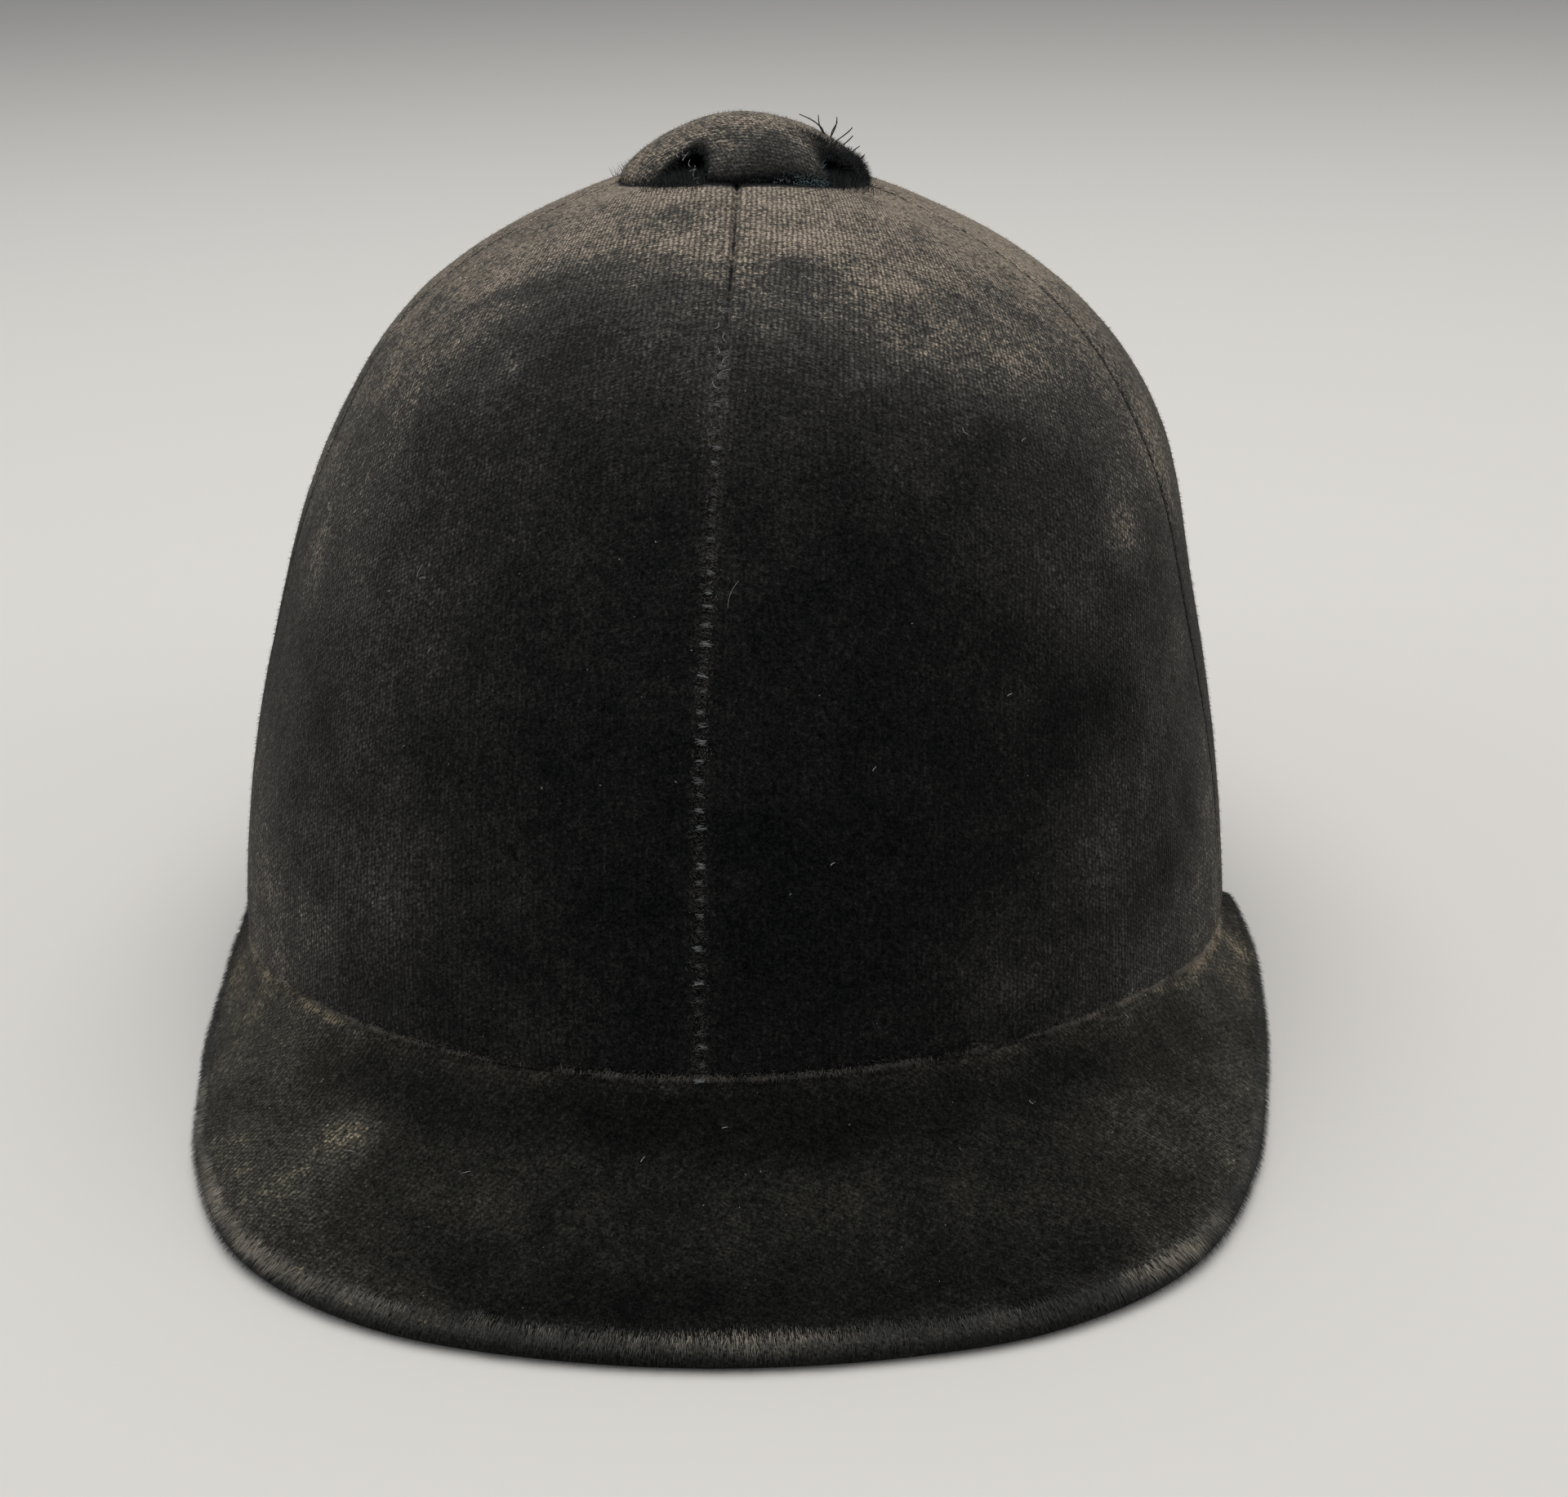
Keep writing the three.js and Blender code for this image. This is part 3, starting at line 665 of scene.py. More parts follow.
def broad_wear_and_sheen(grid):
    """The crown's wear and painted sheen by height and by the angle from its dark middle."""
    from_dark = np.abs(grid.around - CROWN_DARK_MIDDLE)
    folded = np.minimum(from_dark, 200 - 0.8 * from_dark)
    middle, shoulder, flank = (
        read_table(CROWN_WEAR_AND_SHEEN, "level", name, grid.level) for name in ("middle", "shoulder", "flank")
    )
    to_shoulder = (folded - CROWN_DARK_HALF_ANGLE) / (CROWN_SHOULDER_ANGLE - CROWN_DARK_HALF_ANGLE)
    to_flank = (folded - CROWN_SHOULDER_ANGLE) / (CROWN_FLANK_ANGLE - CROWN_SHOULDER_ANGLE)
    return blend(blend(middle, shoulder, ease(to_shoulder)), flank, ease(to_flank))


def crown_wear_and_sheen(grid):
    """How worn the pile is at each point of a panel, with painted sheen on the shoulders and flanks."""
    points = grid.points
    wear = broad_wear_and_sheen(grid) + marks_at(grid.around, grid.level, CROWN_MARKS, "wear")
    wear = wear + 0.08 * unevenness(points, size=26, seed=1) + 0.07 * unevenness(points, size=10, seed=2)
    crushed = unevenness(points, size=4, seed=3)
    broken = 0.75 + 0.9 * unevenness(points, size=3, seed=4)
    lower = 1 - ease((grid.level - 60) / 12)
    top = ease((grid.level - 75) / 5)
    wear = wear + bell(grid.from_front, 1.6) * (0.12 + 0.1 * crushed) * lower
    wear = wear - bell(grid.from_front, 0.3) * (0.55 - 0.3 * lower - 0.3 * top) * broken
    nearest = np.minimum(grid.from_first, grid.from_last)
    wear = wear - 0.8 * bell(nearest, 0.5) * (grid.from_front > nearest)
    wear = wear + bell(grid.from_rim - 0.5, 0.9) * (0.06 + 0.3 * crushed)
    below_button = 1 - ease((from_button(points) - BUTTON_RADIUS + 1.4) / 1.6)
    return blend(keep_uneven(wear), 0.0, below_button)


def panel_surface(panel, settings):
    """A panel's fine outer face with its seams and dents, and how its cloth lies."""
    grid = panel_grid(panel, panel_columns(settings), panel_rows(settings))
    sink = seam_sink(grid.from_first, grid.from_rim[:, :1], settings)
    sink = sink + seam_sink(grid.from_last, grid.from_rim[:, -1:], settings)
    sink = sink + edge_sink(grid.from_rim, settings)
    sink = sink + marks_at(grid.around, grid.level, CROWN_DENTS, "depth")
    lumps = 0.7 * unevenness(grid.points, size=22, seed=5) + 0.3 * unevenness(grid.points, size=8, seed=6)
    fade = ease(np.minimum(grid.from_first, grid.from_last) / 6) * ease(grid.from_rim / 6)
    sink = sink - settings.unevenness * lumps * fade
    points = grid.points - grid.normals * np.maximum(sink, -0.4)[..., None]
    points[..., 2] = np.maximum(points[..., 2], 0)
    across = grid.from_first if panel.ribs_from == "first" else grid.from_last
    weave = np.stack([across, grid.from_rim, np.zeros_like(across)], axis=-1)
    return grid, points, weave


def panel_shape(panel, settings):
    """The whole wall of a panel: the fine outer face, a plain inner face and closed edges."""
    grid, points, weave = panel_surface(panel, settings)
    around = grid.around[::2, ::2]
    level = grid.level[::2, ::2]
    inner = crown_point(around, level) - CROWN_WALL * crown_normal(around, level)
    inner[0, :, 2] = grid.points[0, ::2, 2] + 0.3
    inner[..., 2] = np.maximum(inner[..., 2], 0)
    along = slice(None)
    backwards = slice(None, None, -1)
    borders = ((0, along), (along, -1), (-1, backwards), (backwards, 0))
    wear = (crown_wear_and_sheen(grid), 0.0)
    return walled_shape(points, inner, borders, wear=wear, weave=(weave, weave[::2, ::2]))


# The peak


PeakSection = namedtuple("PeakSection", "outline spine share from_seam past_edge")


def bezier(corners, shares):
    t = np.asarray(shares)[:, None]
    a, b, c, d = (np.asarray(corner, float) for corner in corners)
    return (1 - t) ** 3 * a + 3 * (1 - t) ** 2 * t * b + 3 * (1 - t) * t**2 * c + t**3 * d


def peak_section(bearing, settings):
    """The peak's outline at one bearing, as reach and height: down the sheet, round the roll and
    back underneath. Its spine is the line that the outline closes in to at the peak's ends."""
    turn = math.radians(bearing)
    around = math.degrees(
        math.atan2(CROWN_HALF_LENGTH * math.sin(turn), CROWN_HALF_WIDTH * math.cos(turn))
    )
    level = rim_level(around)
    seam = crown_point(around, level)
    inner = seam - CROWN_WALL * crown_normal(around, level)
    top = seam[2] - settings.seam_gap
    seam_reach = math.hypot(seam[0], seam[1])
    inner_reach = math.hypot(inner[0], inner[1])
    reach, height, radius = (
        read_table(PEAK_EDGE, "bearing", column, abs(bearing)) for column in ("reach", "height", "roll")
    )
    from_end = min(1.0, (PEAK_END_BEARING - abs(bearing)) / settings.end_taper)
    edge_reach = blend(
        seam_reach + radius + settings.seam_gap,
        reach + PEAK_DRIFT * math.sin(turn),
        math.sqrt(1 - (1 - from_end) ** 2),
    )
    roll = np.array([edge_reach - radius, height])
    run = roll[0] - seam_reach
    drop = top - roll[1]
    slope = math.atan2(drop, run + drop * PEAK_SLOPE_EASE)
    outward = np.array([math.cos(slope), -math.sin(slope)])
    roll_top = roll + radius * np.array([-outward[1], outward[0]])
    corners = (
        (seam_reach, top),
        (seam_reach + run * PEAK_LEAVING_REACH, top - drop * PEAK_STEEP_DROP),
        roll_top - outward * run * PEAK_STRAIGHT_END,
        roll_top,
    )
    near_seam = np.array([0, 0.008, 0.018, 0.032, 0.05])
    shares = np.concatenate([near_seam, np.linspace(near_seam[-1], 1, settings.sheet_steps + 1)[1:]])
    step = 1e-3
    tangent = unit(
        bezier(corners, np.minimum(shares + step, 1)) - bezier(corners, np.maximum(shares - step, 0))
    )
    outside = np.stack([-tangent[:, 1], tangent[:, 0]], axis=1)
    sheet = bezier(corners, shares)
    from_seam = np.concatenate([[0], np.cumsum(np.linalg.norm(np.diff(sheet, axis=0), axis=1))])

    turned = np.arange(1, settings.roll_steps + 1) / settings.roll_steps
    angles = math.pi / 2 - slope - np.radians(PEAK_ROLL_TURN) * turned
    rounding = roll + radius * np.stack([np.cos(angles), np.sin(angles)], axis=1)
    round_roll = radius * (angles[0] - angles)

    back = slice(-2, 0, -2)
    seam_wall = seam_reach - inner_reach
    wall = outside[back] * blend(seam_wall, PEAK_WALL, np.minimum(1, shares[back] / PEAK_WALL_BLEND))[:, None]
    foot = np.array([[inner_reach, top]])
    middle = sheet - outside * blend(seam_wall, PEAK_WALL, 0.5) / 2
    below = np.ones(len(wall) + 1)
    face = sheet - outside * edge_sink(from_seam, settings)[:, None]
    roll_middle = np.repeat(roll[None], len(rounding), axis=0)
    return PeakSection(
        np.concatenate([face, rounding, sheet[back] - wall, foot]),
        np.concatenate([middle, roll_middle, sheet[back] - wall / 2, middle[:1]]),
        np.concatenate([shares, 1 + turned, UNDERSIDE_SHARE * below]),
        np.concatenate([from_seam, from_seam[-1] + round_roll, FAR_AWAY * below]),
        np.concatenate([from_seam - from_seam[-1], round_roll, FAR_AWAY * below]),
    )


def peak_shape(settings):
    """The peak with its rolled edge and rounded ends, and where on it each point lies."""
    swell = np.radians(np.linspace(settings.end_fold, 0, settings.end_steps + 1))[:-1]
    stations = [(-PEAK_END_BEARING, fold) for fold in swell]
    bearings = np.linspace(-PEAK_END_BEARING, PEAK_END_BEARING, settings.sections + 1)
    stations += [(bearing, 0.0) for bearing in bearings]
    stations += [(PEAK_END_BEARING, fold) for fold in swell[::-1]]
    points = []
    sections = []
    for bearing, fold in stations:
        section = peak_section(bearing, settings)
        reach, height = blend(section.spine, section.outline, math.cos(fold)).T
        beyond = settings.end_roundness * math.sin(fold) * math.copysign(1, bearing)
        level_points = reach[:, None] * outward_at(bearing) + beyond * sideways_at(bearing)
        points.append(level_points + np.maximum(0, height)[:, None] * UPWARDS)
        sections.append(section)
    points = np.array(points)
    shares, from_seam, past_edge = (
        np.array([getattr(section, name) for section in sections])
        for name in ("share", "from_seam", "past_edge")
    )
    bearing = np.repeat([[bearing] for bearing, _ in stations], points.shape[1], axis=1)

    lumps = 0.65 * unevenness(points, size=20, seed=8) + 0.35 * unevenness(points, size=7, seed=9)
    fade = ease(from_seam / 6) * ease((1.9 - shares) / 0.9) * (np.abs(bearing) < PEAK_END_BEARING)
    points = points + unit(points - PEAK_CENTRE) * (settings.unevenness * lumps * fade)[..., None]
    points[..., 2] = np.maximum(points[..., 2], 0)
    return Shape(
        points,
        ring_faces(len(stations), points.shape[1]),
        wear=peak_wear_and_roll_light(points, bearing, shares, from_seam).ravel(),
        weave=peak_weave(bearing, from_seam).reshape(-1, 3),
        inside=ease((shares - UNDERSIDE_START) / 0.3).ravel(),
        share=shares.ravel(),
        bearing=bearing.ravel(),
        past_edge=past_edge.ravel(),
    )


def peak_weave(bearing, from_seam):
    """The cloth's two thread directions on the peak laid out flat, and which of them shows more."""
    turn = np.radians(bearing)
    reach = CROWN_HALF_LENGTH + np.minimum(from_seam, 90)
    across = reach * np.sin(turn)
    forward = reach * np.cos(turn)
    bias = math.radians(PEAK_CLOTH_BIAS)
    return np.stack([
        forward * math.cos(bias) + across * math.sin(bias),
        forward * math.cos(bias) - across * math.sin(bias),
        ease((across + 26) / 34),
    ], axis=-1)


# The peak's wear, with the painted highlight and painted bounce light round its roll.
def peak_wear_and_roll_light(points, bearing, share, from_seam):
    middle, side = (read_table(PEAK_WEAR_AND_ROLL_LIGHT, "share", column, share) for column in ("middle", "side"))
    wear = blend(middle, side, ease(np.abs(bearing) / PEAK_SIDE_BEARING))
    crushed = unevenness(points, size=5, seed=12)
    wear = wear + 0.08 * unevenness(points, size=24, seed=10) + 0.08 * unevenness(points, size=9, seed=11)
    wear = wear + bell(from_seam, 1.2) * (0.1 + 0.3 * crushed)
    for mark in PEAK_MARKS:
        nearest = np.argmin(np.abs(share - mark.share) + np.abs(bearing - mark.bearing) / 40)
        apart = points - points.reshape(-1, 3)[nearest]
        sideways = sideways_at(mark.bearing)
        along = apart @ sideways
        down = np.linalg.norm(apart - along[..., None] * sideways, axis=-1)
        wear = wear + mark.wear * bell(along, mark.wide) * bell(down, mark.high)
    return wear


# The button


def vent_offset(bearing):
    """The angle from the middle of the nearest vent."""
    spacing = 360 / VENT_COUNT
    first = BUTTON_TURN + spacing / 2
    return np.mod(bearing - first + spacing / 2, spacing) - spacing / 2


def vent_lift(bearing):
    """How high the button's lower edge is lifted by a vent."""
    half_width = math.degrees(VENT_WIDTH / 2 / BUTTON_RADIUS)
    share = np.minimum(1, np.abs(vent_offset(bearing)) / half_width)
    return VENT_HEIGHT * np.sqrt(1 - share**2)


def button_grid(bearings, rows, inset):
    """Points of the button's dome from its lower edge up to its top."""
    base = BUTTON_TOP_HEIGHT - BUTTON_DOME_HEIGHT
    power = 2 / BUTTON_FULLNESS
    radius = BUTTON_RADIUS - inset
    dome = BUTTON_DOME_HEIGHT - inset
    bearing, up = np.meshgrid(bearings, rows)
    outward = outward_at(bearing)
    foot = BUTTON_MIDDLE + radius * outward
    seat = crown_height_at(foot[..., 0], foot[..., 1]) + BUTTON_GAP
    lowest = np.maximum(0, seat - base) + vent_lift(bearing)
    rise = blend(np.arcsin((lowest / dome) ** (1 / power)), math.pi / 2, up)
    reach = radius * np.maximum(0, np.cos(rise)) ** power
    height = base + dome * np.sin(rise) ** power
    return bearing, BUTTON_MIDDLE + reach[..., None] * outward + height[..., None] * UPWARDS


def button_wear(points, bearing, from_edge, from_top):
    """How worn the button's pile is: dark at its vents and round its lower edge in front."""
    from_front = np.mod(bearing + 180, 360) - 180
    frontal = 0.25 + 0.75 * bell(from_front - 10, 50)
    facing = bell(from_front - 22, 34)
    beside_vent = vent_offset(bearing) - 6 * np.sign(from_front)
    ragged = 0.85 + 0.5 * unevenness(points, size=4, seed=18)
    wear = 0.94 - 0.5 * bell(from_edge, 2.2) * (0.55 * frontal + 0.45 * vent_lift(bearing) / VENT_HEIGHT)
    wear = wear - 0.35 * bell(beside_vent, 12) * bell(from_edge, 3.2)
    wear = wear - 0.13 * bell(from_front - 12, 52) * ease((from_top - 7) / 7)
    wear = wear - 0.3 * facing * bell(from_edge - 3, 7) - 0.5 * facing * bell(from_edge, 2.6) * ragged
    return keep_uneven(wear + 0.08 * unevenness(points, size=5, seed=17))


def button_shape(settings):
    """The domed button, with its lower edge turned in and its vents pinched, and where on it each
    point lies."""
    bearings = np.linspace(0, 360, settings.columns + 1)
    near_edge = np.array([0, 0.012, 0.028, 0.05, 0.078, 0.112])
    rows = np.concatenate([near_edge, np.linspace(near_edge[-1], 1, settings.rows + 1)[1:]])
    bearing, points = button_grid(bearings, rows, 0.0)
    _, inner = button_grid(bearings[::2], rows[::-1][::2][::-1], BUTTON_WALL)
    from_edge = travelled(points, 0)
    from_top = from_edge[-1:] - from_edge
    lumps = 0.6 * unevenness(points, size=9, seed=15) + 0.4 * unevenness(points, size=4, seed=16)
    pucker = bell(np.abs(vent_offset(bearing)) - 12, 5) * bell(from_edge, 4)
    turned_in = settings.edge_turn * bell(from_edge, 0.7)
    sink = turned_in - settings.unevenness * lumps * ease(from_edge / 3) + 0.25 * pucker
    points = points - unit(points - BUTTON_CENTRE) * sink[..., None]
    from_middle = from_top[..., None] * outward_at(bearing)
    return walled_shape(
        points, inner, [0],
        wear=(button_wear(points, bearing, from_edge, from_top), 0.0),
        weave=(from_middle[..., [1, 0, 2]], np.zeros_like(inner)),
        from_edge=(from_edge, FAR_AWAY),
        vent=(vent_lift(bearing) / VENT_HEIGHT, 0.0),
        bearing=(bearing, 0.0),
    )


def button_point(bearing, reach):
    """A point of the button's dome."""
    share = (1 - (reach / BUTTON_RADIUS) ** BUTTON_FULLNESS) ** (1 / BUTTON_FULLNESS)
    height = BUTTON_TOP_HEIGHT - BUTTON_DOME_HEIGHT * (1 - share)
    return BUTTON_MIDDLE + reach * outward_at(bearing) + height * UPWARDS


# Threads


def tube_shape(path, radius, sides=5, tip=0.25):
    """A closed thread along a path of points, thinner at its ends."""
    path = np.asarray(path, float)
    tangents = unit(np.gradient(path, axis=0))
    aside = unit(np.cross(tangents, np.array([0.31, 0.52, 0.79])))
    over = np.cross(tangents, aside)
    share = np.linspace(0, 1, len(path))
    widths = radius * (tip + (1 - tip) * np.sin(math.pi * np.clip(share, 0.08, 0.92)) ** 0.5)
    angles = (np.arange(sides) * 2 * math.pi / sides)[None, :, None]
    turned = np.cos(angles) * aside[:, None] + np.sin(angles) * over[:, None]
    return Shape(path[:, None] + widths[:, None, None] * turned, ring_faces(len(path), sides))


def lint_bit(middle, sideways, upwards, bit):
    """A short bent fibre that lies on a surface, the thinner the longer it is. The surface is given
    by a point and two directions, and the fibre's heading is its angle between these."""
    heading = math.radians(bit.heading)
    along = math.cos(heading) * sideways + math.sin(heading) * upwards
    normal = np.cross(sideways, upwards)
    shares = np.linspace(-0.5, 0.5, 7)[:, None]
    sway = bit.bend * bit.length * (0.25 - shares**2) * 1.6 * np.cross(normal, along)
    lift = (0.12 + 0.25 * np.abs(shares)) * normal
    path = middle + shares * bit.length * along + sway + lift
    return tube_shape(path, LINT_RADIUS / math.sqrt(bit.length))


def crown_lint(bit):
    middle = crown_point(bit.around, bit.level)
    normal = crown_normal(bit.around, bit.level)
    round_way = unit(np.cross(UPWARDS, normal))
    return lint_bit(middle, round_way, np.cross(normal, round_way), bit)


def peak_lint(bit, settings):
    section = peak_section(bit.bearing, settings)
    outward = outward_at(bit.bearing)
    k = np.argmin(np.abs(section.share - bit.share))
    slope = unit(section.outline[k + 1] - section.outline[k - 1])
    middle = outward * section.outline[k, 0] + section.outline[k, 1] * UPWARDS
    uphill = -outward * slope[0] - slope[1] * UPWARDS
    return lint_bit(middle, sideways_at(bit.bearing), uphill, bit)


def vent_lint(bit):
    normal = unit(outward_at(bit.bearing) + UPWARDS)
    sideways = sideways_at(bit.bearing)
    middle = button_point(bit.bearing, bit.reach) - 0.2 * normal
    return lint_bit(middle, sideways, np.cross(normal, sideways), bit)


def frayed_thread(thread):
    """A broken thread that stands up from a vent, with its foot a little below the velvet."""
    foot = button_point(thread.bearing, thread.reach) - FOOT_DEPTH * UPWARDS
    reach = np.array([thread.across, thread.back, thread.rise + FOOT_DEPTH])
    shares = np.linspace(0, 1, 9)[:, None]
    sway = thread.bend * np.sin(math.pi * shares) * np.array([0.8, 0.3, 0.35])
    return tube_shape(foot + reach * shares + sway, FRAYED_RADIUS, tip=0.45)


# Node trees


def shown(sockets, name=None):
    """The first socket, or the first of that name, that a node shows with its present settings."""
    return next(socket for socket in sockets if socket.enabled and name in (None, socket.name))


class Wiring:
    """A node tree that is being built. An input's name is written with _ for a space, and a node
    that is given as an input's value stands for its first output."""

    def __init__(self, tree):
        self.tree = tree

    def feed(self, node, **inputs):
        """Gives a node's inputs their links or plain values."""
        for name, value in inputs.items():
            self.connect(shown(node.inputs, name.replace("_", " ")), value)

    def connect(self, socket, value):
        if isinstance(value, bpy.types.Node):
            value = shown(value.outputs)
        if isinstance(value, bpy.types.NodeSocket):
            self.tree.links.new(value, socket)
        else:
            socket.default_value = value

    def add(self, kind, settings=None, **inputs):
        node = self.tree.nodes.new(kind)
        for key, value in (settings or {}).items():
            setattr(node, key, value)
        self.feed(node, **inputs)
        return node

    def sums(self, operation, *values, kind="ShaderNodeMath"):
        """The result of a calculation with one or two values."""
        node = self.add(kind, {"operation": operation})
        for socket, value in zip(node.inputs, values):
            self.connect(socket, value)
        return node.outputs[0]

    def times(self, first, second):
        return self.sums("MULTIPLY", first, second)

    def plus(self, first, second):
        return self.sums("ADD", first, second)

    def vector_plus(self, first, second):
        return self.sums("ADD", first, second, kind="ShaderNodeVectorMath")

    def scaled(self, vector, share):
        node = self.add("ShaderNodeVectorMath", {"operation": "SCALE"}, Scale=share)
        self.connect(node.inputs[0], vector)
        return node.outputs[0]

    def rescale(self, value, old, new):
        """Moves a value from one range to another one."""
        return self.add(
            "ShaderNodeMapRange", Value=value, From_Min=old[0], From_Max=old[1], To_Min=new[0], To_Max=new[1]
        )

    def random(self, low, high, seed, kind="FLOAT"):
        return self.add("FunctionNodeRandomValue", {"data_type": kind}, Min=low, Max=high, Seed=seed)

    def astray(self, reach, seed):
        """A random vector, up to a reach long in each direction."""
        anywhere = self.random((-1.0, -1.0, -1.0), (1.0, 1.0, 1.0), seed, "FLOAT_VECTOR")
        return self.scaled(anywhere, reach)

    def kept(self, name, kind="FLOAT"):
        """A value that the geometry keeps at its points."""
        return self.add("GeometryNodeInputNamedAttribute", {"data_type": kind}, Name=name)

    def keep(self, geometry, name, value):
        """Keeps a value at a geometry's points."""
        return self.add(
            "GeometryNodeStoreNamedAttribute", {"data_type": "FLOAT", "domain": "POINT"},
            Geometry=geometry, Name=name, Value=value,
        )

    def spun(self, rotation, angle):
        """A rotation that is turned about its own Z axis."""
        spin = self.add("FunctionNodeAxisAngleToRotation", Axis=(0.0, 0.0, 1.0), Angle=angle)
        settings = {"rotation_space": "LOCAL"}
        return self.add("FunctionNodeRotateRotation", settings, Rotation=rotation, Rotate_By=spin)

    def end_with_copies(self, points, instance, rotation, scale, material):
        """Ends the tree with a real copy of a shape at each point, in its material."""
        copies = self.add(
            "GeometryNodeInstanceOnPoints", Points=points, Instance=instance, Rotation=rotation, Scale=scale
        )
        real = self.add("GeometryNodeRealizeInstances", Geometry=copies)
        dressed = self.add("GeometryNodeSetMaterial", Geometry=real, Material=material)
        self.add("NodeGroupOutput", Geometry=dressed)

    def mixed(self, share, first, second, mode="MIX"):
        """Two colours mixed by a share."""
        node = self.add("ShaderNodeMix", {"data_type": "RGBA", "blend_type": mode})
        for number, value in ((0, share), (6, first), (7, second)):
            self.connect(node.inputs[number], value)
        return node.outputs[2]

    def shaded(self, colour, brightness):
        """A colour multiplied by a number."""
        grey = self.add("ShaderNodeCombineXYZ", X=brightness, Y=brightness, Z=brightness)
        return self.mixed(1.0, colour, grey, "MULTIPLY")

    def grain(self, scale, detail=2.0, roughness=0.55):
        """Noise on Object coordinates, with its scale as lumps to the metre."""
        spot = self.add("ShaderNodeTexCoord").outputs["Object"]
        return self.add("ShaderNodeTexNoise", Vector=spot, Scale=scale, Detail=detail, Roughness=roughness)

    def on_surface(self, name, part="Fac"):
        """A value that the mesh keeps at its points."""
        return self.add("ShaderNodeAttribute", {"attribute_name": name}).outputs[part]

    def wear_ramp(self, wear, palette):
        """The velvet's colour from whole pile to bare cloth, in even steps of wear."""
        colours = (palette.pile, palette.crushed_pile, palette.thin_pile, palette.rubbed, palette.bare)
        ramp = self.add("ShaderNodeValToRGB", Fac=wear)
        stops = ramp.color_ramp.elements
        while len(stops) < len(colours):
            stops.new(0.5)
        for k, colour in enumerate(colours):
            stops[k].position = k / (len(colours) - 1)
            stops[k].color = (*colour, 1.0)
        return ramp


def tree_with_inputs(name, **defaults):
    """A Geometry Nodes tree with a geometry, named inputs and a material, and these inputs."""
    tree = bpy.data.node_groups.new(name, "GeometryNodeTree")
    tree.interface.new_socket(name="Geometry", in_out="INPUT", socket_type="NodeSocketGeometry")
    tree.interface.new_socket(name="Geometry", in_out="OUTPUT", socket_type="NodeSocketGeometry")
    for key, default in defaults.items():
        kind = "NodeSocketInt" if isinstance(default, int) else "NodeSocketFloat"
        tree.interface.new_socket(name=key, in_out="INPUT", socket_type=kind).default_value = default
    tree.interface.new_socket(name="Material", in_out="INPUT", socket_type="NodeSocketMaterial")
    return Wiring(tree), tree.nodes.new("NodeGroupInput").outputs


def run_tree(piece, tree, values):
    """Runs a tree on a piece with the given inputs, and leaves the result as its plain mesh."""
    modifier = piece.modifiers.new(tree.name, "NODES")
    modifier.node_group = tree
    for item in tree.interface.items_tree:
        if item.item_type == "SOCKET" and item.in_out == "INPUT" and item.name in values:
            modifier[item.identifier] = values[item.name]
    graph = bpy.context.evaluated_depsgraph_get()
    result = bpy.data.meshes.new_from_object(
        piece.evaluated_get(graph), preserve_all_data_layers=True, depsgraph=graph
    )
    piece.modifiers.clear()
    piece.data = result
    result.name = piece.name
    if not result.polygons:
        raise RuntimeError(f"{piece.name} came out empty")


def nap_tree(name):
    """Short fibres that stand on a surface: denser, longer and combed as its attributes say."""
    nodes, given = tree_with_inputs(name, Density=1e5, Length=1e-3, Thickness=1e-4, Spread=0.3, Seed=1)
    scatter = nodes.add(
        "GeometryNodeDistributePointsOnFaces",
        Mesh=given["Geometry"], Density=nodes.times(given["Density"], nodes.kept("nap")), Seed=given["Seed"],
    )
    points = nodes.keep(scatter, "shade", nodes.random(0.0, 1.0, seed=11))
    leaning = nodes.vector_plus(scatter.outputs["Normal"], nodes.kept("comb", "FLOAT_VECTOR"))
    heading = nodes.vector_plus(leaning, nodes.astray(given["Spread"], seed=23))
    aligned = nodes.add("FunctionNodeAlignRotationToVector", {"axis": "Z"}, Vector=heading)
    turned = nodes.spun(aligned, nodes.random(0.0, math.tau, seed=37))
    length = nodes.times(given["Length"], nodes.kept("nap_length"))
    length = nodes.times(length, nodes.random(0.55, 1.15, seed=41))
    scale = nodes.add("ShaderNodeCombineXYZ", X=given["Thickness"], Y=given["Thickness"], Z=length)
    fibre = nodes.add(
        "GeometryNodeMeshCone", {"fill_type": "NGON"},
        Vertices=3, Radius_Top=0.0, Radius_Bottom=0.5, Depth=1.0,
    )
    nodes.end_with_copies(points, fibre, turned, scale, given["Material"])
    return nodes.tree


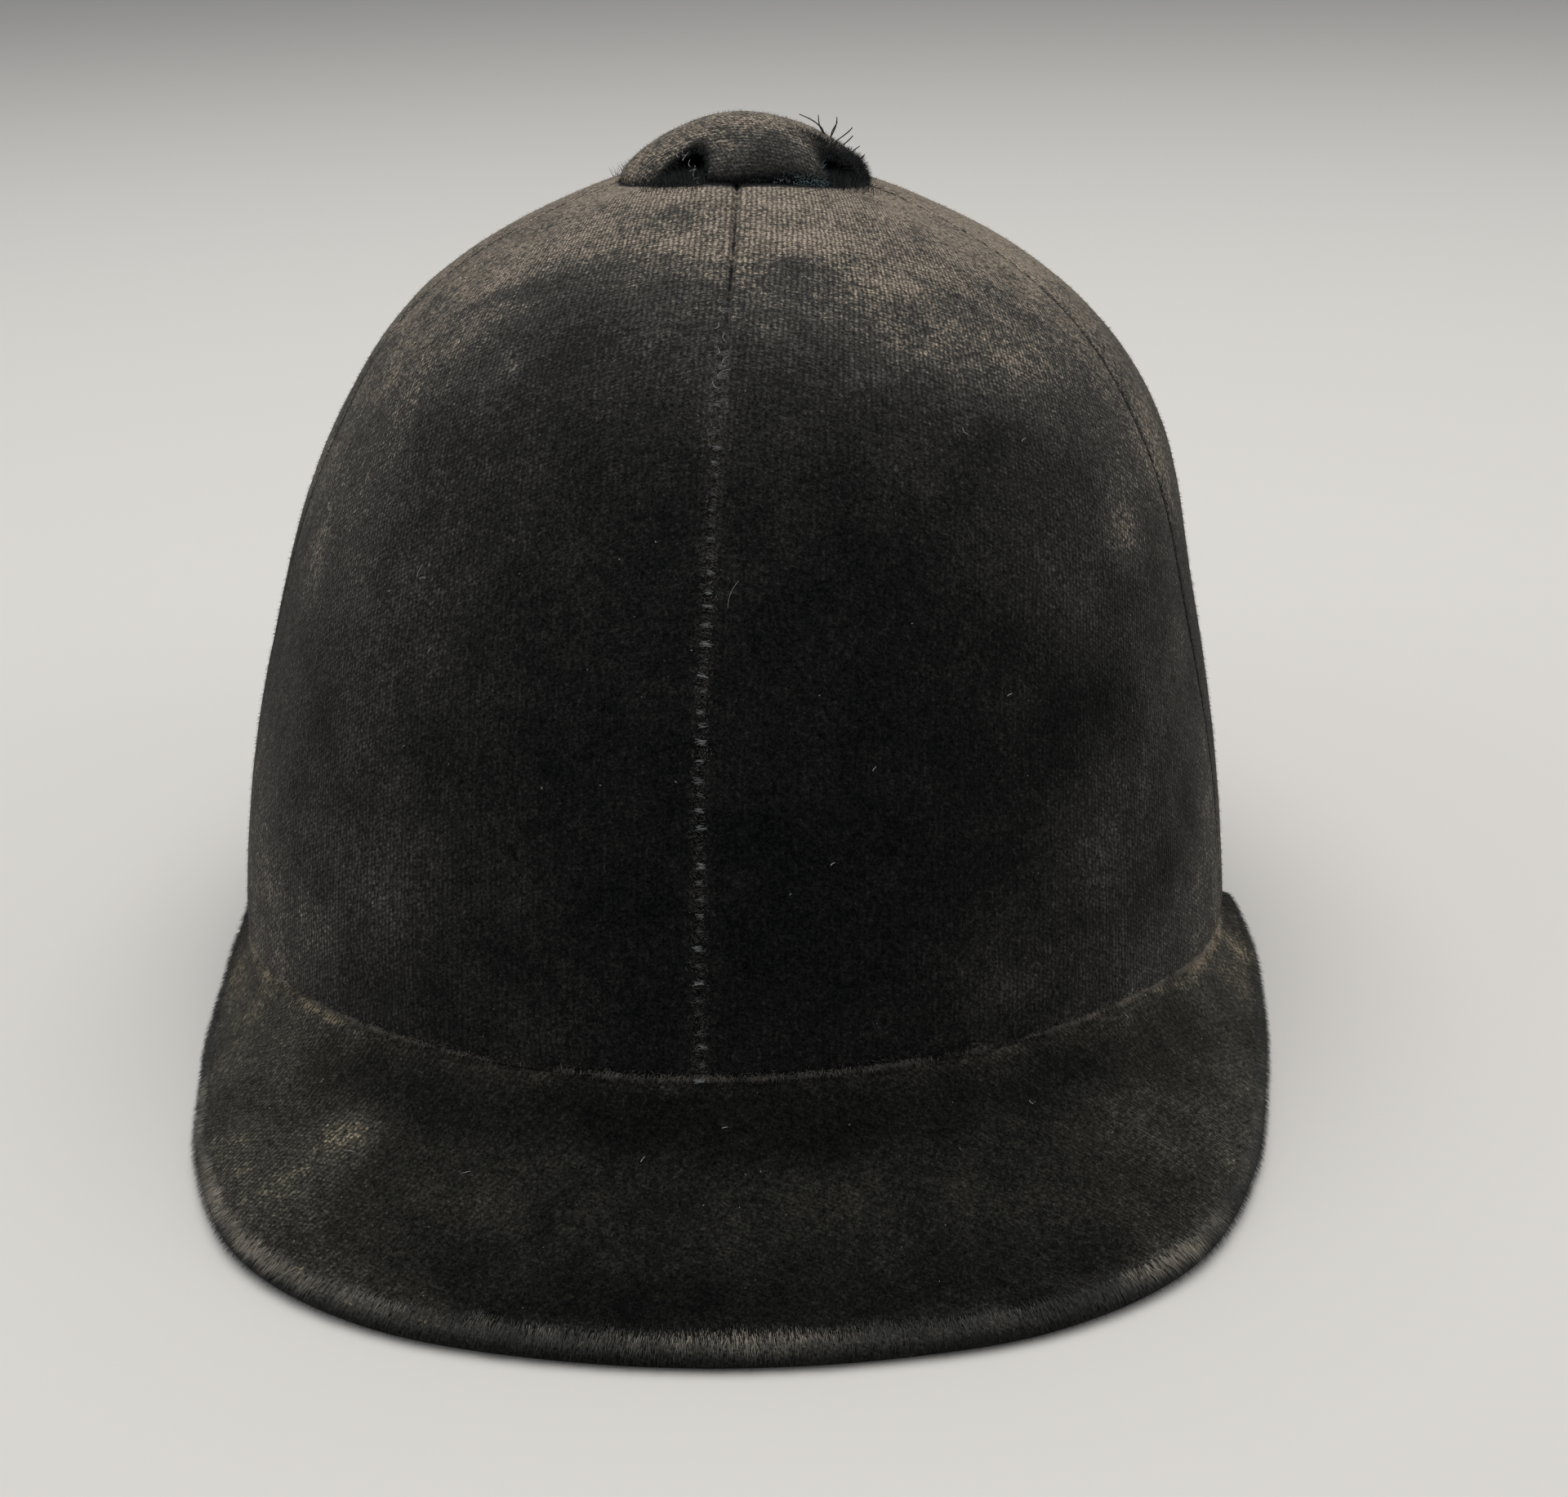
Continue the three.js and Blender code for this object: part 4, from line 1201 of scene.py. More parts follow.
def stitch_tree(name):
    """Stitches at an even pitch along a seam line, each a few loose strands across it."""
    nodes, given = tree_with_inputs(
        name, Pitch=3e-3, Strands=3, Width=1.4e-3, Rise=3e-4, Thickness=1e-4, Looseness=2e-4, Untidiness=0.2,
        Seed=1,
    )
    line = nodes.add("GeometryNodeMeshToCurve", Mesh=given["Geometry"])
    evenly = nodes.add("GeometryNodeResampleCurve", {"mode": "LENGTH"}, Curve=line, Length=given["Pitch"])
    spots = nodes.add("GeometryNodeCurveToPoints", {"mode": "EVALUATED"}, Curve=evenly)
    marked = nodes.keep(spots, "strength", nodes.random(0.1, 1.0, seed=47))
    drift = nodes.astray(given["Looseness"], seed=49)
    uneven = nodes.add("GeometryNodeSetPosition", Geometry=marked, Offset=drift)
    strands = nodes.add(
        "GeometryNodeDuplicateElements", {"domain": "POINT"}, Geometry=uneven, Amount=given["Strands"]
    )
    loose = nodes.add(
        "GeometryNodeSetPosition", Geometry=strands, Offset=nodes.astray(given["Looseness"], given["Seed"])
    )
    half = nodes.times(given["Width"], 0.5)
    arch = nodes.add(
        "GeometryNodeCurveQuadraticBezier", Resolution=4,
        Start=nodes.add("ShaderNodeCombineXYZ", X=nodes.times(half, -1.0)),
        Middle=nodes.add("ShaderNodeCombineXYZ", Z=given["Rise"]),
        End=nodes.add("ShaderNodeCombineXYZ", X=half),
    )
    ring = nodes.add(
        "GeometryNodeCurvePrimitiveCircle", {"mode": "RADIUS"}, Resolution=4, Radius=given["Thickness"]
    )
    thread = nodes.add("GeometryNodeCurveToMesh", Curve=arch, Profile_Curve=ring, Fill_Caps=True)
    facing = nodes.add(
        "FunctionNodeAxesToRotation", {"primary_axis": "Z", "secondary_axis": "X"},
        Primary_Axis=nodes.kept("outward", "FLOAT_VECTOR"),
        Secondary_Axis=nodes.kept("across", "FLOAT_VECTOR"),
    )
    turned = nodes.spun(facing, nodes.times(given["Untidiness"], nodes.random(-1.0, 1.0, seed=53)))
    strength = nodes.kept("strength")
    size = nodes.random((0.5, 0.8, 0.3), (1.15, 1.2, 1.5), 57, "FLOAT_VECTOR")
    scale = nodes.scaled(size, nodes.rescale(strength, (0.0, 1.0), (0.45, 1.15)))
    brightness = nodes.plus(nodes.times(strength, 0.55), nodes.random(0.0, 0.45, seed=61))
    nodes.end_with_copies(nodes.keep(loose, "shade", brightness), thread, turned, scale, given["Material"])
    return nodes.tree


def shared_tree(build, name):
    """A tree by its name, built on first use."""
    return bpy.data.node_groups.get(name) or build(name)


def grow_nap(name, hosts, slot, material, density, length, thickness, spread, seed):
    """Grows fibres on host shapes that hold the values nap, nap_length, comb and wear."""
    piece = place(name, make_mesh(name, join_shapes(hosts)))
    run_tree(piece, shared_tree(nap_tree, "Velvet nap"), {
        "Density": density / MILLIMETRE**2,
        "Length": length * MILLIMETRE,
        "Thickness": thickness * MILLIMETRE,
        "Spread": spread,
        "Seed": seed,
        "Material": finish(material),
    })
    drop_values(piece, "nap", "nap_length", "comb")
    finish_piece(piece, slot)


# Materials


def new_material(name):
    """A material with nothing but its shader, and the two things that are needed to fill it."""
    material = bpy.data.materials.new(name)
    material.use_nodes = True
    material.node_tree.nodes.clear()
    nodes = Wiring(material.node_tree)
    shader = nodes.add("ShaderNodeBsdfPrincipled")
    nodes.add("ShaderNodeOutputMaterial", Surface=shader)
    return material, nodes, shader


def velvet_material(name, palette, rib_pitch, tint=(1.0, 1.0, 1.0)):
    """Worn velvet: pile that hides the cloth's ribs, and shows them where it is rubbed away."""
    material, nodes, shader = new_material(name)
    mottle = nodes.grain(130.0, 5.0, 0.62)
    speckle = nodes.grain(560.0, 3.0, 0.65)
    grit = nodes.grain(1300.0, 2.0, 0.7)
    fuzz = nodes.grain(3000.0, 2.0, 0.6)
    # The wear value holds real wear, painted sheen on the crown's shoulders and flanks, and a painted
    # highlight round the peak's roll.
    wear = nodes.on_surface("wear")
    for cloud, swing in ((mottle, 0.1), (speckle, 0.1), (grit, 0.2)):
        wear = nodes.plus(wear, nodes.rescale(cloud, (0.25, 0.75), (-swing, swing)))

    lie = nodes.add("ShaderNodeSeparateXYZ", Vector=nodes.on_surface("weave", "Vector")).outputs
    sway = nodes.rescale(nodes.grain(420.0, 2.0), (0.0, 1.0), (-0.42, 0.42))
    rib_turns = nodes.times(nodes.plus(lie[0], sway), math.tau / rib_pitch)
    knot_turns = nodes.times(nodes.plus(lie[1], sway), math.tau / (rib_pitch * KNOT_SPACING))
    knot_turns = nodes.plus(knot_turns, nodes.times(rib_turns, 0.5))
    rib_low = nodes.rescale(lie[2], (0.0, 1.0), (0.15, 0.4))
    knot_low = nodes.rescale(lie[2], (0.0, 1.0), (0.34, 0.12))
    ribs = nodes.rescale(nodes.sums("SINE", rib_turns), (-1.0, 1.0), (rib_low, 1.0))
    knots = nodes.rescale(nodes.sums("SINE", knot_turns), (-1.0, 1.0), (knot_low, 1.0))
    cloth = nodes.times(nodes.times(ribs, knots), nodes.rescale(grit, (0.3, 0.7), (0.3, 1.5)))
    showing = nodes.rescale(wear, (0.2, 0.85), (0.27, 1.0))

    between = nodes.times(showing, nodes.rescale(cloth, (0.05, 0.7), (palette.rib_shade, 0.0)))
    flecks = nodes.rescale(fuzz, (0.32, 0.68), (1.0 - palette.fleck, 1.0 + palette.fleck))
    bright = nodes.times(flecks, nodes.sums("SUBTRACT", 1.0, between))
    colour = nodes.shaded(nodes.wear_ramp(wear, palette), bright)
    colour = nodes.mixed(1.0, colour, (*tint, 1.0), "MULTIPLY")
    colour = nodes.mixed(nodes.on_surface("inside"), colour, (*palette.inside, 1.0))

    height = nodes.times(nodes.times(cloth, showing), 0.2)
    for cloud, depth in ((fuzz, 0.14), (grit, 0.2), (speckle, 0.2)):
        height = nodes.plus(height, nodes.times(cloud, depth))
    nodes.feed(
        shader,
        Base_Color=colour,
        Normal=nodes.add("ShaderNodeBump", Strength=0.8, Distance=MILLIMETRE, Height=height),
        Roughness=nodes.rescale(wear, (0.0, 1.0), (0.98, 0.82)),
        Specular_IOR_Level=0.03,
        Sheen_Weight=palette.sheen,
        Sheen_Roughness=0.3,
        Sheen_Tint=(0.86, 0.82, 0.76, 1.0),
    )
    return material


def fibre_material(name, palette, lift, tint=(1.0, 1.0, 1.0)):
    """The pile's own fibres, coloured as the velvet that they stand on."""
    material, nodes, shader = new_material(name)
    shade = nodes.on_surface("shade")
    colour = nodes.wear_ramp(nodes.plus(nodes.on_surface("wear"), lift), palette)
    colour = nodes.mixed(1.0, colour, (*tint, 1.0), "MULTIPLY")
    nodes.feed(
        shader,
        Base_Color=nodes.shaded(colour, nodes.rescale(shade, (0.0, 1.0), (0.4, 1.6))),
        Roughness=nodes.rescale(shade, (0.0, 1.0), (0.7, 0.95)),
        Specular_IOR_Level=0.05,
        Sheen_Weight=0.05,
    )
    return material


def thread_material(name, palette, colour_name, faded=False):
    """Spun cotton or silk thread, a little uneven in colour, and duller strand by strand if faded."""
    material, nodes, shader = new_material(name)
    spun = nodes.rescale(nodes.grain(2400.0, 2.0), (0.3, 0.7), (0.6, 1.3))
    if faded:
        spun = nodes.times(spun, nodes.rescale(nodes.on_surface("shade"), (0.0, 1.0), (0.1, 1.7)))
    twist = nodes.times(nodes.grain(5200.0), 0.05)
    nodes.feed(
        shader,
        Base_Color=nodes.shaded((*getattr(palette, colour_name), 1.0), spun),
        Normal=nodes.add("ShaderNodeBump", Strength=0.4, Distance=MILLIMETRE, Height=twist),
        Roughness=0.85,
        Specular_IOR_Level=0.2,
        Sheen_Weight=0.2,
    )
    return material


# The cap's materials: how each is made, and its own values. A velvet has the pitch of its ribs and
# its tint, a fibre how much more worn it looks than the velvet and its tint, and a thread its
# colour and whether it is faded.
FINISHES = {
    "worn_crown_velvet": (velvet_material, 0.92),
    "worn_peak_velvet": (velvet_material, 0.95, (1.01, 1.0, 0.9)),
    "worn_button_velvet": (velvet_material, 0.95),
    "pile_fibre": (fibre_material, -0.03),
    # The brushed fibres' lift is partly wear and partly a boost to the painted highlight on the peak's roll.
    "brushed_fibre": (fibre_material, 0.12, (0.93, 1.0, 1.06)),
    "dark_thread": (thread_material, "dark_thread"),
    "pale_thread": (thread_material, "pale_thread", True),
    "lint": (thread_material, "lint"),
    "unfaded_pile": (thread_material, "unfaded"),
    "kept_pile": (thread_material, "kept"),
}


def finish(name):
    """One of the cap's materials, made on first use."""
    build, *values = FINISHES[name]
    return bpy.data.materials.get(name) or build(name, bpy.context.scene.hunt_cap_velvet, *values)


# Settings


def size_setting(name, description, default, low=0.0, high=400.0):
    """A size in millimetres."""
    description = f"{description}, in millimetres"
    return FloatProperty(name=name, description=description, default=default, min=low, max=high)


def count_setting(name, description, default, low=4):
    return IntProperty(name=name, description=description, default=default, min=low)


def share_setting(name, description, default):
    return FloatProperty(name=name, description=description, default=default, min=0.0, max=1.0)


def angle_setting(name, description, default):
    """An angle, whose default is given in degrees."""
    default = math.radians(default)
    return FloatProperty(name=name, description=description, default=default, subtype="ANGLE")


def density_setting(name, what, default):
    return FloatProperty(name=name, description=f"{what} to the square millimetre", default=default, min=0.0)


def colour_setting(name, description, default):
    return FloatVectorProperty(
        name=name, description=description, default=default, size=3, subtype="COLOR", min=0.0, max=1.0
    )


class HuntCapCrownSettings(bpy.types.PropertyGroup):
    panel_columns: count_setting("Panel columns", "Steps across a panel", 82)
    panel_rows: count_setting("Panel rows", "Steps up a panel", 213)
    panel_width: size_setting("Panel width", "The width that the columns near a seam are spaced for", 110.0)
    panel_length: size_setting("Panel length", "The length that the rows near the rim are spaced for", 175.0)
    stitch_pitch: size_setting("Stitch pitch", "How far apart the seams' stitches are", 2.45)
    groove_depth: size_setting("Groove depth", "How deep the velvet is drawn in at a seam", 0.7)
    edge_turn: size_setting("Edge turn", "How far the velvet turns in at the crown's lower edge", 0.8)
    unevenness: size_setting("Unevenness", "How far the crown's face swells and sinks", 0.28)


class HuntCapPeakSettings(bpy.types.PropertyGroup):
    sections: count_setting("Sections", "Sections round the peak", 330)
    sheet_steps: count_setting("Sheet steps", "Steps down the peak's sheet", 35)
    roll_steps: count_setting("Roll steps", "Steps round the peak's roll", 16)
    end_steps: count_setting("End steps", "Steps round the peak's ends", 5, low=2)
    end_roundness: size_setting("End roundness", "How far the peak's ends swell out", 1.0)
    end_taper: FloatProperty(
        name="End taper", description="How far from its ends the peak narrows, in degrees",
        default=11.0, min=1.0,
    )
    end_fold: FloatProperty(
        name="End fold", description="How far round the peak's ends are rounded, in degrees",
        default=82.0, min=10.0, max=89.0,
    )
    seam_gap: size_setting("Seam gap", "The gap between the peak and the crown", 0.15)
    edge_turn: size_setting("Edge turn", "How far the velvet turns in at the peak's seam", 0.7)
    unevenness: size_setting("Unevenness", "How far the peak's face swells and sinks", 0.3)


class HuntCapButtonSettings(bpy.types.PropertyGroup):
    columns: count_setting("Columns", "Steps round the button", 240, low=16)
    rows: count_setting("Rows", "Steps up the button", 39)
    edge_turn: size_setting("Edge turn", "How far the velvet turns in at the button's edge", 0.7)
    unevenness: size_setting("Unevenness", "How far the button's face swells and sinks", 0.22)


class HuntCapNapSettings(bpy.types.PropertyGroup):
    density: density_setting("Density", "Fibres", 1.0)
    length: size_setting("Length", "The pile fibres' length", 0.95)
    thickness: size_setting("Thickness", "The pile fibres' thickness", 0.06)
    roll_density: density_setting("Roll density", "Fibres of the peak's roll", 16.0)
    roll_length: size_setting("Roll length", "The brushed fibres' length on the peak's roll", 1.5)
    seam_density: density_setting("Seam density", "Fibres along the seams", 30.0)
    dust_density: density_setting("Dust density", "Specks of dust", 0.0028)


class HuntCapVelvetSettings(bpy.types.PropertyGroup):
    pile: colour_setting("Whole pile", "The velvet where its pile is whole", (0.0038, 0.0042, 0.0045))
    crushed_pile: colour_setting("Crushed pile", "The velvet where it is crushed", (0.0103, 0.0106, 0.0104))
    thin_pile: colour_setting("Thin pile", "The velvet where its pile is thin", (0.0285, 0.0278, 0.0262))
    rubbed: colour_setting("Rubbed", "The velvet where it is rubbed", (0.080, 0.077, 0.070))
    bare: colour_setting("Bare", "The cloth where its pile is gone", (0.368, 0.309, 0.247))
    inside: colour_setting("Inside", "The cap's plain inner face", (0.02, 0.018, 0.017))
    dark_thread: colour_setting("Dark thread", "The sewing thread", (0.012, 0.010, 0.010))
    pale_thread: colour_setting("Pale thread", "The thread that shows at the front seam", (0.17, 0.18, 0.182))
    lint: colour_setting("Lint", "Dust and lint", (0.29, 0.292, 0.285))
    kept: colour_setting("Kept pile", "The dusty pile below the button's front edge", (0.12, 0.19, 0.2))
    unfaded: colour_setting("Unfaded pile", "The pile that was kept from the light", (0.005, 0.0078, 0.0088))
    sheen: share_setting("Sheen", "How strongly the pile shines at its edges", 0.06)
    fleck: share_setting("Fleck", "How uneven the pile's own colour is", 0.66)
    rib_shade: share_setting("Rib shade", "How dark the cloth is between its ribs", 0.74)


class HuntCapStageSettings(bpy.types.PropertyGroup):
    camera_distance: size_setting("Camera distance", "How far it is from the crown's axis", 445, high=5000)
    camera_height: size_setting("Camera height", "How high the camera is", 207, high=5000)
    camera_turn: angle_setting("Camera turn", "How far the camera stands to the cap's left", 2.34)
    camera_tilt: angle_setting("Camera tilt", "How far the camera looks down", 21.19)
    camera_roll: angle_setting("Camera roll", "How far the camera leans", 1.24)
    focal_pixels: FloatProperty(name="Focal length", description="In pixels of the picture", default=3088.0)
    shift_pixels: FloatProperty(name="Shift", description="The view's shift, in pixels", default=58.8)
    floor_colour: colour_setting("Floor", "The floor's colour", (0.6, 0.585, 0.56))
    sky_strength: FloatProperty(
        name="Sky strength", description="The strength of the light from all round", default=0.32, min=0.0
    )


# Operators


def make_velvet(name, shape, slot, node):
    """Makes a velvet piece that stands for a node, with only the values that its material reads."""
    values = {key: shape.values[key] for key in ("wear", "weave", "inside")}
    mesh = make_mesh(name, shape.with_values(**values), weld=True)
    finish_piece(place(name, mesh, finish(f"worn_{slot}")), slot, node)


class HUNTCAP_OT_crown(bpy.types.Operator):
    """Makes the crown's four velvet panels, with their seams, dents, wear and painted sheen."""

    bl_idname = "hunt_cap.crown"
    bl_label = "Crown panels"

    def execute(self, context):
        for panel in PANELS:
            name = panel.node.replace("crown_panel", "velvet_panel")
            make_velvet(name, panel_shape(panel, context.scene.hunt_cap_crown), "crown_velvet", panel.node)
        return {"FINISHED"}


class HUNTCAP_OT_peak(bpy.types.Operator):
    """Makes the velvet-covered peak with its rolled edge."""

    bl_idname = "hunt_cap.peak"
    bl_label = "Peak"

    def execute(self, context):
        make_velvet("velvet_peak", peak_shape(context.scene.hunt_cap_peak), "peak_velvet", "peak")
        return {"FINISHED"}


class HUNTCAP_OT_button(bpy.types.Operator):
    """Makes the domed button with its four vents."""

    bl_idname = "hunt_cap.button"
    bl_label = "Button"

    def execute(self, context):
        shape = button_shape(context.scene.hunt_cap_button)
        make_velvet("velvet_button", shape, "button_velvet", "top_button")
        return {"FINISHED"}


def seam_line_mesh(stitches):
    """A line along a seam that knows its outward and sideways directions."""
    level = np.linspace(stitches.low, stitches.high, SEAM_LINE_POINTS)
    around = seam_angle(stitches.seam, level)
    points = crown_point(around, level)
    outward = crown_normal(around, level)
    across = np.cross(unit(np.gradient(points, axis=0)), outward)
    mesh = bpy.data.meshes.new(stitches.name)
    steps = [(k, k + 1) for k in range(SEAM_LINE_POINTS - 1)]
    mesh.from_pydata(to_metres(points - outward * stitches.sink).tolist(), steps, [])
    keep_values(mesh, {"outward": outward, "across": across})
    return mesh


class HUNTCAP_OT_stitches(bpy.types.Operator):
    """Sews the crown's seams, with pale thread where it shows along the front one."""

    bl_idname = "hunt_cap.stitches"
    bl_label = "Seam stitches"

    def execute(self, context):
        for seed, stitches in enumerate(SEAM_STITCHES, start=70):
            piece = place(stitches.name, seam_line_mesh(stitches))
            run_tree(piece, shared_tree(stitch_tree, "Seam stitches"), {
                "Pitch": context.scene.hunt_cap_crown.stitch_pitch * MILLIMETRE,
                "Strands": stitches.strands,
                "Width": stitches.width * MILLIMETRE,
                "Rise": stitches.rise * MILLIMETRE,
                "Thickness": stitches.thickness * MILLIMETRE,
                "Looseness": stitches.loose * MILLIMETRE,
                "Untidiness": STITCH_UNTIDINESS,
                "Seed": seed,
                "Material": finish(stitches.thread),
            })
            drop_values(piece, "outward", "across", "strength")
            finish_piece(piece, "crown_velvet")
        return {"FINISHED"}


def ground(shape, nap, nap_length=1.0, comb=0.0, wear=0.0):
    """A shape as ground for fibres: how dense they are at each point, how long, which way they are
    combed and how worn they look, which also holds painted sheen on the crown and a painted highlight
    on the peak's roll."""
    points = len(shape.points)
    return shape.with_values(
        nap=np.broadcast_to(nap, points),
        nap_length=np.broadcast_to(nap_length, points),
        comb=np.broadcast_to(comb, (points, 3)),
        wear=np.broadcast_to(wear, points),
    )


def crown_grounds(context, panels, density_of, wear_of=None, length_of=None, combed=0.0):
    """Panels' outer faces as ground for fibres, which are combed down the crown."""
    grounds = []
    for panel in panels:
        grid, points, _ = panel_surface(panel, context.scene.hunt_cap_crown)
        wear = crown_wear_and_sheen(grid)
        below = crown_point(grid.around, grid.level - MEASURING_STEP)
        down = unit(below - crown_point(grid.around, grid.level))
        grounds.append(ground(
            Shape(points, grid_faces(grid_numbers(points))),
            density_of(grid, wear).ravel(),
            length_of(wear).ravel() if length_of else 1.0,
            combed * down.reshape(-1, 3),
            (wear_of(wear) if wear_of else wear).ravel(),
        ))
    return grounds


def clear_of_button(grid):
    """1 on the open crown and 0 below the button."""
    return ease((from_button(grid.points) - BUTTON_RADIUS) / 2)


class HUNTCAP_OT_crown_nap(bpy.types.Operator):
    """Grows the pile's fibres on the crown, thin where it is rubbed."""

    bl_idname = "hunt_cap.crown_nap"
    bl_label = "Crown nap"

    def execute(self, context):
        nap = context.scene.hunt_cap_nap

        def density_of(grid, wear):
            seam = np.minimum(grid.from_first, grid.from_last)
            return (1.1 - 0.55 * np.clip(wear, 0, 1)) * clear_of_button(grid) * ease(seam / 0.8)

        def length_of(wear):
            return 1.15 - 0.6 * np.clip(wear, 0, 1)

        halves = (("front_crown_nap", PANELS[:2], 1.0, 3), ("rear_crown_nap", PANELS[2:], 0.72, 4))
        for name, panels, share, seed in halves:
            hosts = crown_grounds(context, panels, density_of, length_of=length_of, combed=0.75)
            grow_nap(
                name, hosts, "crown_velvet", "pile_fibre", density=share * nap.density,
                length=nap.length, thickness=nap.thickness, spread=0.55, seed=seed,
            )
        return {"FINISHED"}


class HUNTCAP_OT_seam_nap(bpy.types.Operator):
    """Grows the fuzz along the front seam and along the seam of the peak."""

    bl_idname = "hunt_cap.seam_nap"
    bl_label = "Seam nap"

    def execute(self, context):
        fuzz = context.scene.hunt_cap_nap.seam_density
        pitch = context.scene.hunt_cap_crown.stitch_pitch

        def at_front_seam(grid, wear):
            ticks = 0.5 + 0.5 * np.cos(2 * math.pi * grid.from_rim / pitch)
            return bell(grid.from_front, 1.0) * (0.14 + 0.6 * ticks**2) * ease((66 - grid.level) / 4)

        def along_rim(grid, wear):
            strength = read_table(RIM_FUZZ, "around", "strength", grid.around)
            fine = unevenness(grid.points, size=3, seed=31)
            broken = 0.5 + fine + 0.5 * unevenness(grid.points, size=14, seed=32)
            return bell(grid.from_rim - 0.5, 0.5) * strength * np.maximum(broken, 0)

        def dusty(wear):
            return np.clip(wear, 0, 1) * 0.3 + 0.62

        front = crown_grounds(context, PANELS[:2], at_front_seam, dusty)
        rim = crown_grounds(context, PANELS[:2], along_rim, dusty)
        grow_nap(
            "front_seam_nap", front, "crown_velvet", "brushed_fibre",
            density=fuzz, length=0.7, thickness=0.05, spread=0.9, seed=5,
        )
        grow_nap(
            "peak_seam_nap", rim, "crown_velvet", "brushed_fibre",
            density=1.6 * fuzz, length=1.1, thickness=0.055, spread=0.9, seed=6,
        )
        return {"FINISHED"}


def roll_ground(shape, down):
    """The peak as ground for its roll's brushed nap, whose colour holds a painted highlight that is lightest
    in a ragged band.
    """
    points = shape.points
    past_edge = shape.values["past_edge"]
    bearing = shape.values["bearing"]
    ragged = 0.6 * unevenness(points, size=2.2, seed=21) + 0.2 * unevenness(points, size=9, seed=22)
    clumps = 0.75 + 0.5 * unevenness(points, size=2.6, seed=23)
    cloudy = 0.82 + 0.25 * unevenness(points, size=16, seed=24) + 0.25 * unevenness(points, size=5, seed=25)
    off_floor = ease((points[:, 2] - 0.9) / 1.2)
    band = ease((past_edge + 2.3 - ragged) / 0.7) * ease(6.2 - past_edge)
    below = past_edge + 1.1 - ragged
    # light is a painted highlight: the ragged band along the roll's top that catches the light from above.
    light = bell(below, 1.5 + (below > 0) * (0.5 + 0.8 * ease((np.abs(bearing) - 16) / 12)))
    frontal = 1 - 0.4 * ease((np.abs(bearing) - 28) / 30)
    marked = sum(mark.wear * bell(bearing - mark.bearing, mark.wide) for mark in ROLL_HIGHLIGHT_MARKS)
    # The base value is partly wear and partly painted bounce light from the floor; the painted highlight,
    # weaker towards the sides, is added on top.
    return ground(
        shape,
        nap=band * clumps * off_floor * (0.35 + 0.65 * frontal),
        nap_length=(0.7 + 0.5 * light) * (0.5 + 0.5 * frontal),
        comb=1.5 * down,
        wear=0.26 + light * (0.68 * cloudy * frontal + marked),
    )


class HUNTCAP_OT_peak_nap(bpy.types.Operator):
    """Grows the peak's pile and the brushed nap of its rolled edge, whose fibres carry the roll's painted
    highlight.
    """

    bl_idname = "hunt_cap.peak_nap"
    bl_label = "Peak nap"

    def execute(self, context):
        nap = context.scene.hunt_cap_nap
        shape = peak_shape(context.scene.hunt_cap_peak)
        down = unit(0.6 * outward_at(shape.values["bearing"]) - 0.8 * UPWARDS)
        wear = shape.values["wear"]
        thinned = 0.5 * np.clip(wear, 0, 1)
        on_sheet = ease((1.15 - shape.values["share"]) / 0.1)
        sheet = ground(shape, on_sheet * (1.05 - thinned), 1.1 - thinned, 0.7 * down, wear)
        grow_nap(
            "peak_nap", [sheet], "peak_velvet", "pile_fibre", density=1.6 * nap.density,
            length=nap.length, thickness=nap.thickness, spread=0.5, seed=8,
        )
        grow_nap(
            "peak_roll_nap", [roll_ground(shape, down)], "peak_velvet", "brushed_fibre",
            density=nap.roll_density, length=nap.roll_length, thickness=0.065, spread=0.35, seed=9,
        )
        return {"FINISHED"}


class HUNTCAP_OT_button_nap(bpy.types.Operator):
    """Grows the button's pile, the tufts at its vents and the frayed threads."""

    bl_idname = "hunt_cap.button_nap"
    bl_label = "Button nap"

    def execute(self, context):
        nap = context.scene.hunt_cap_nap
        shape = button_shape(context.scene.hunt_cap_button)
        from_edge = shape.values["from_edge"]
        bearing = shape.values["bearing"]
        outside = from_edge < FAR_AWAY
        grow_nap(
            "button_nap", [ground(shape, 0.9 * outside, 0.6, wear=shape.values["wear"])],
            "button_velvet", "pile_fibre",
            density=1.2, length=nap.length, thickness=nap.thickness, spread=0.6, seed=12,
        )

        clumps = 0.5 + 0.9 * unevenness(shape.points, size=1.6, seed=34)
        frayed = bell(bearing - 76, 14) * bell(from_edge - 3.2, 4.4)
        kept = bell(bearing - 34, 11) * bell(from_edge - 0.2, 1.3)
        front_edge = bell(bearing - 12, 30) * bell(from_edge, 0.9) * np.maximum(clumps, 0) * (1 - kept)
        lining = ease(shape.values["vent"] / 0.25) * bell(from_edge, 1.1)
        still_dark = np.maximum(np.maximum(lining, 1.3 * frayed), front_edge)
        long = 0.8 + frayed * np.maximum(clumps + 0.3, 0)
        tufts = (
            ("vent_tufts", still_dark, long, "unfaded_pile", 13),
            ("kept_tufts", kept, 0.85, "kept_pile", 15),
        )
        for name, where, lengths, material, seed in tufts:
            grow_nap(
                name, [ground(shape, outside * where, lengths)], "button_velvet", material,
                density=20.0, length=1.25, thickness=0.1, spread=0.75, seed=seed,
            )

        def below_vents(grid, wear):
            apart = grid.points - BUTTON_MIDDLE
            around_button = np.degrees(np.arctan2(apart[..., 0], -apart[..., 1]))
            return ease(vent_lift(around_button) / 2) * bell(from_button(grid.points) - 19.5, 3)

        grow_nap(
            "vent_pile", crown_grounds(context, PANELS, below_vents), "button_velvet", "unfaded_pile",
            density=14.0, length=2.4, thickness=0.12, spread=0.5, seed=14,
        )
        mesh = make_mesh("frayed_threads", join_shapes([frayed_thread(thread) for thread in FRAYED_THREADS]))
        finish_piece(place("frayed_threads", mesh, finish("dark_thread")), "button_velvet")
        return {"FINISHED"}


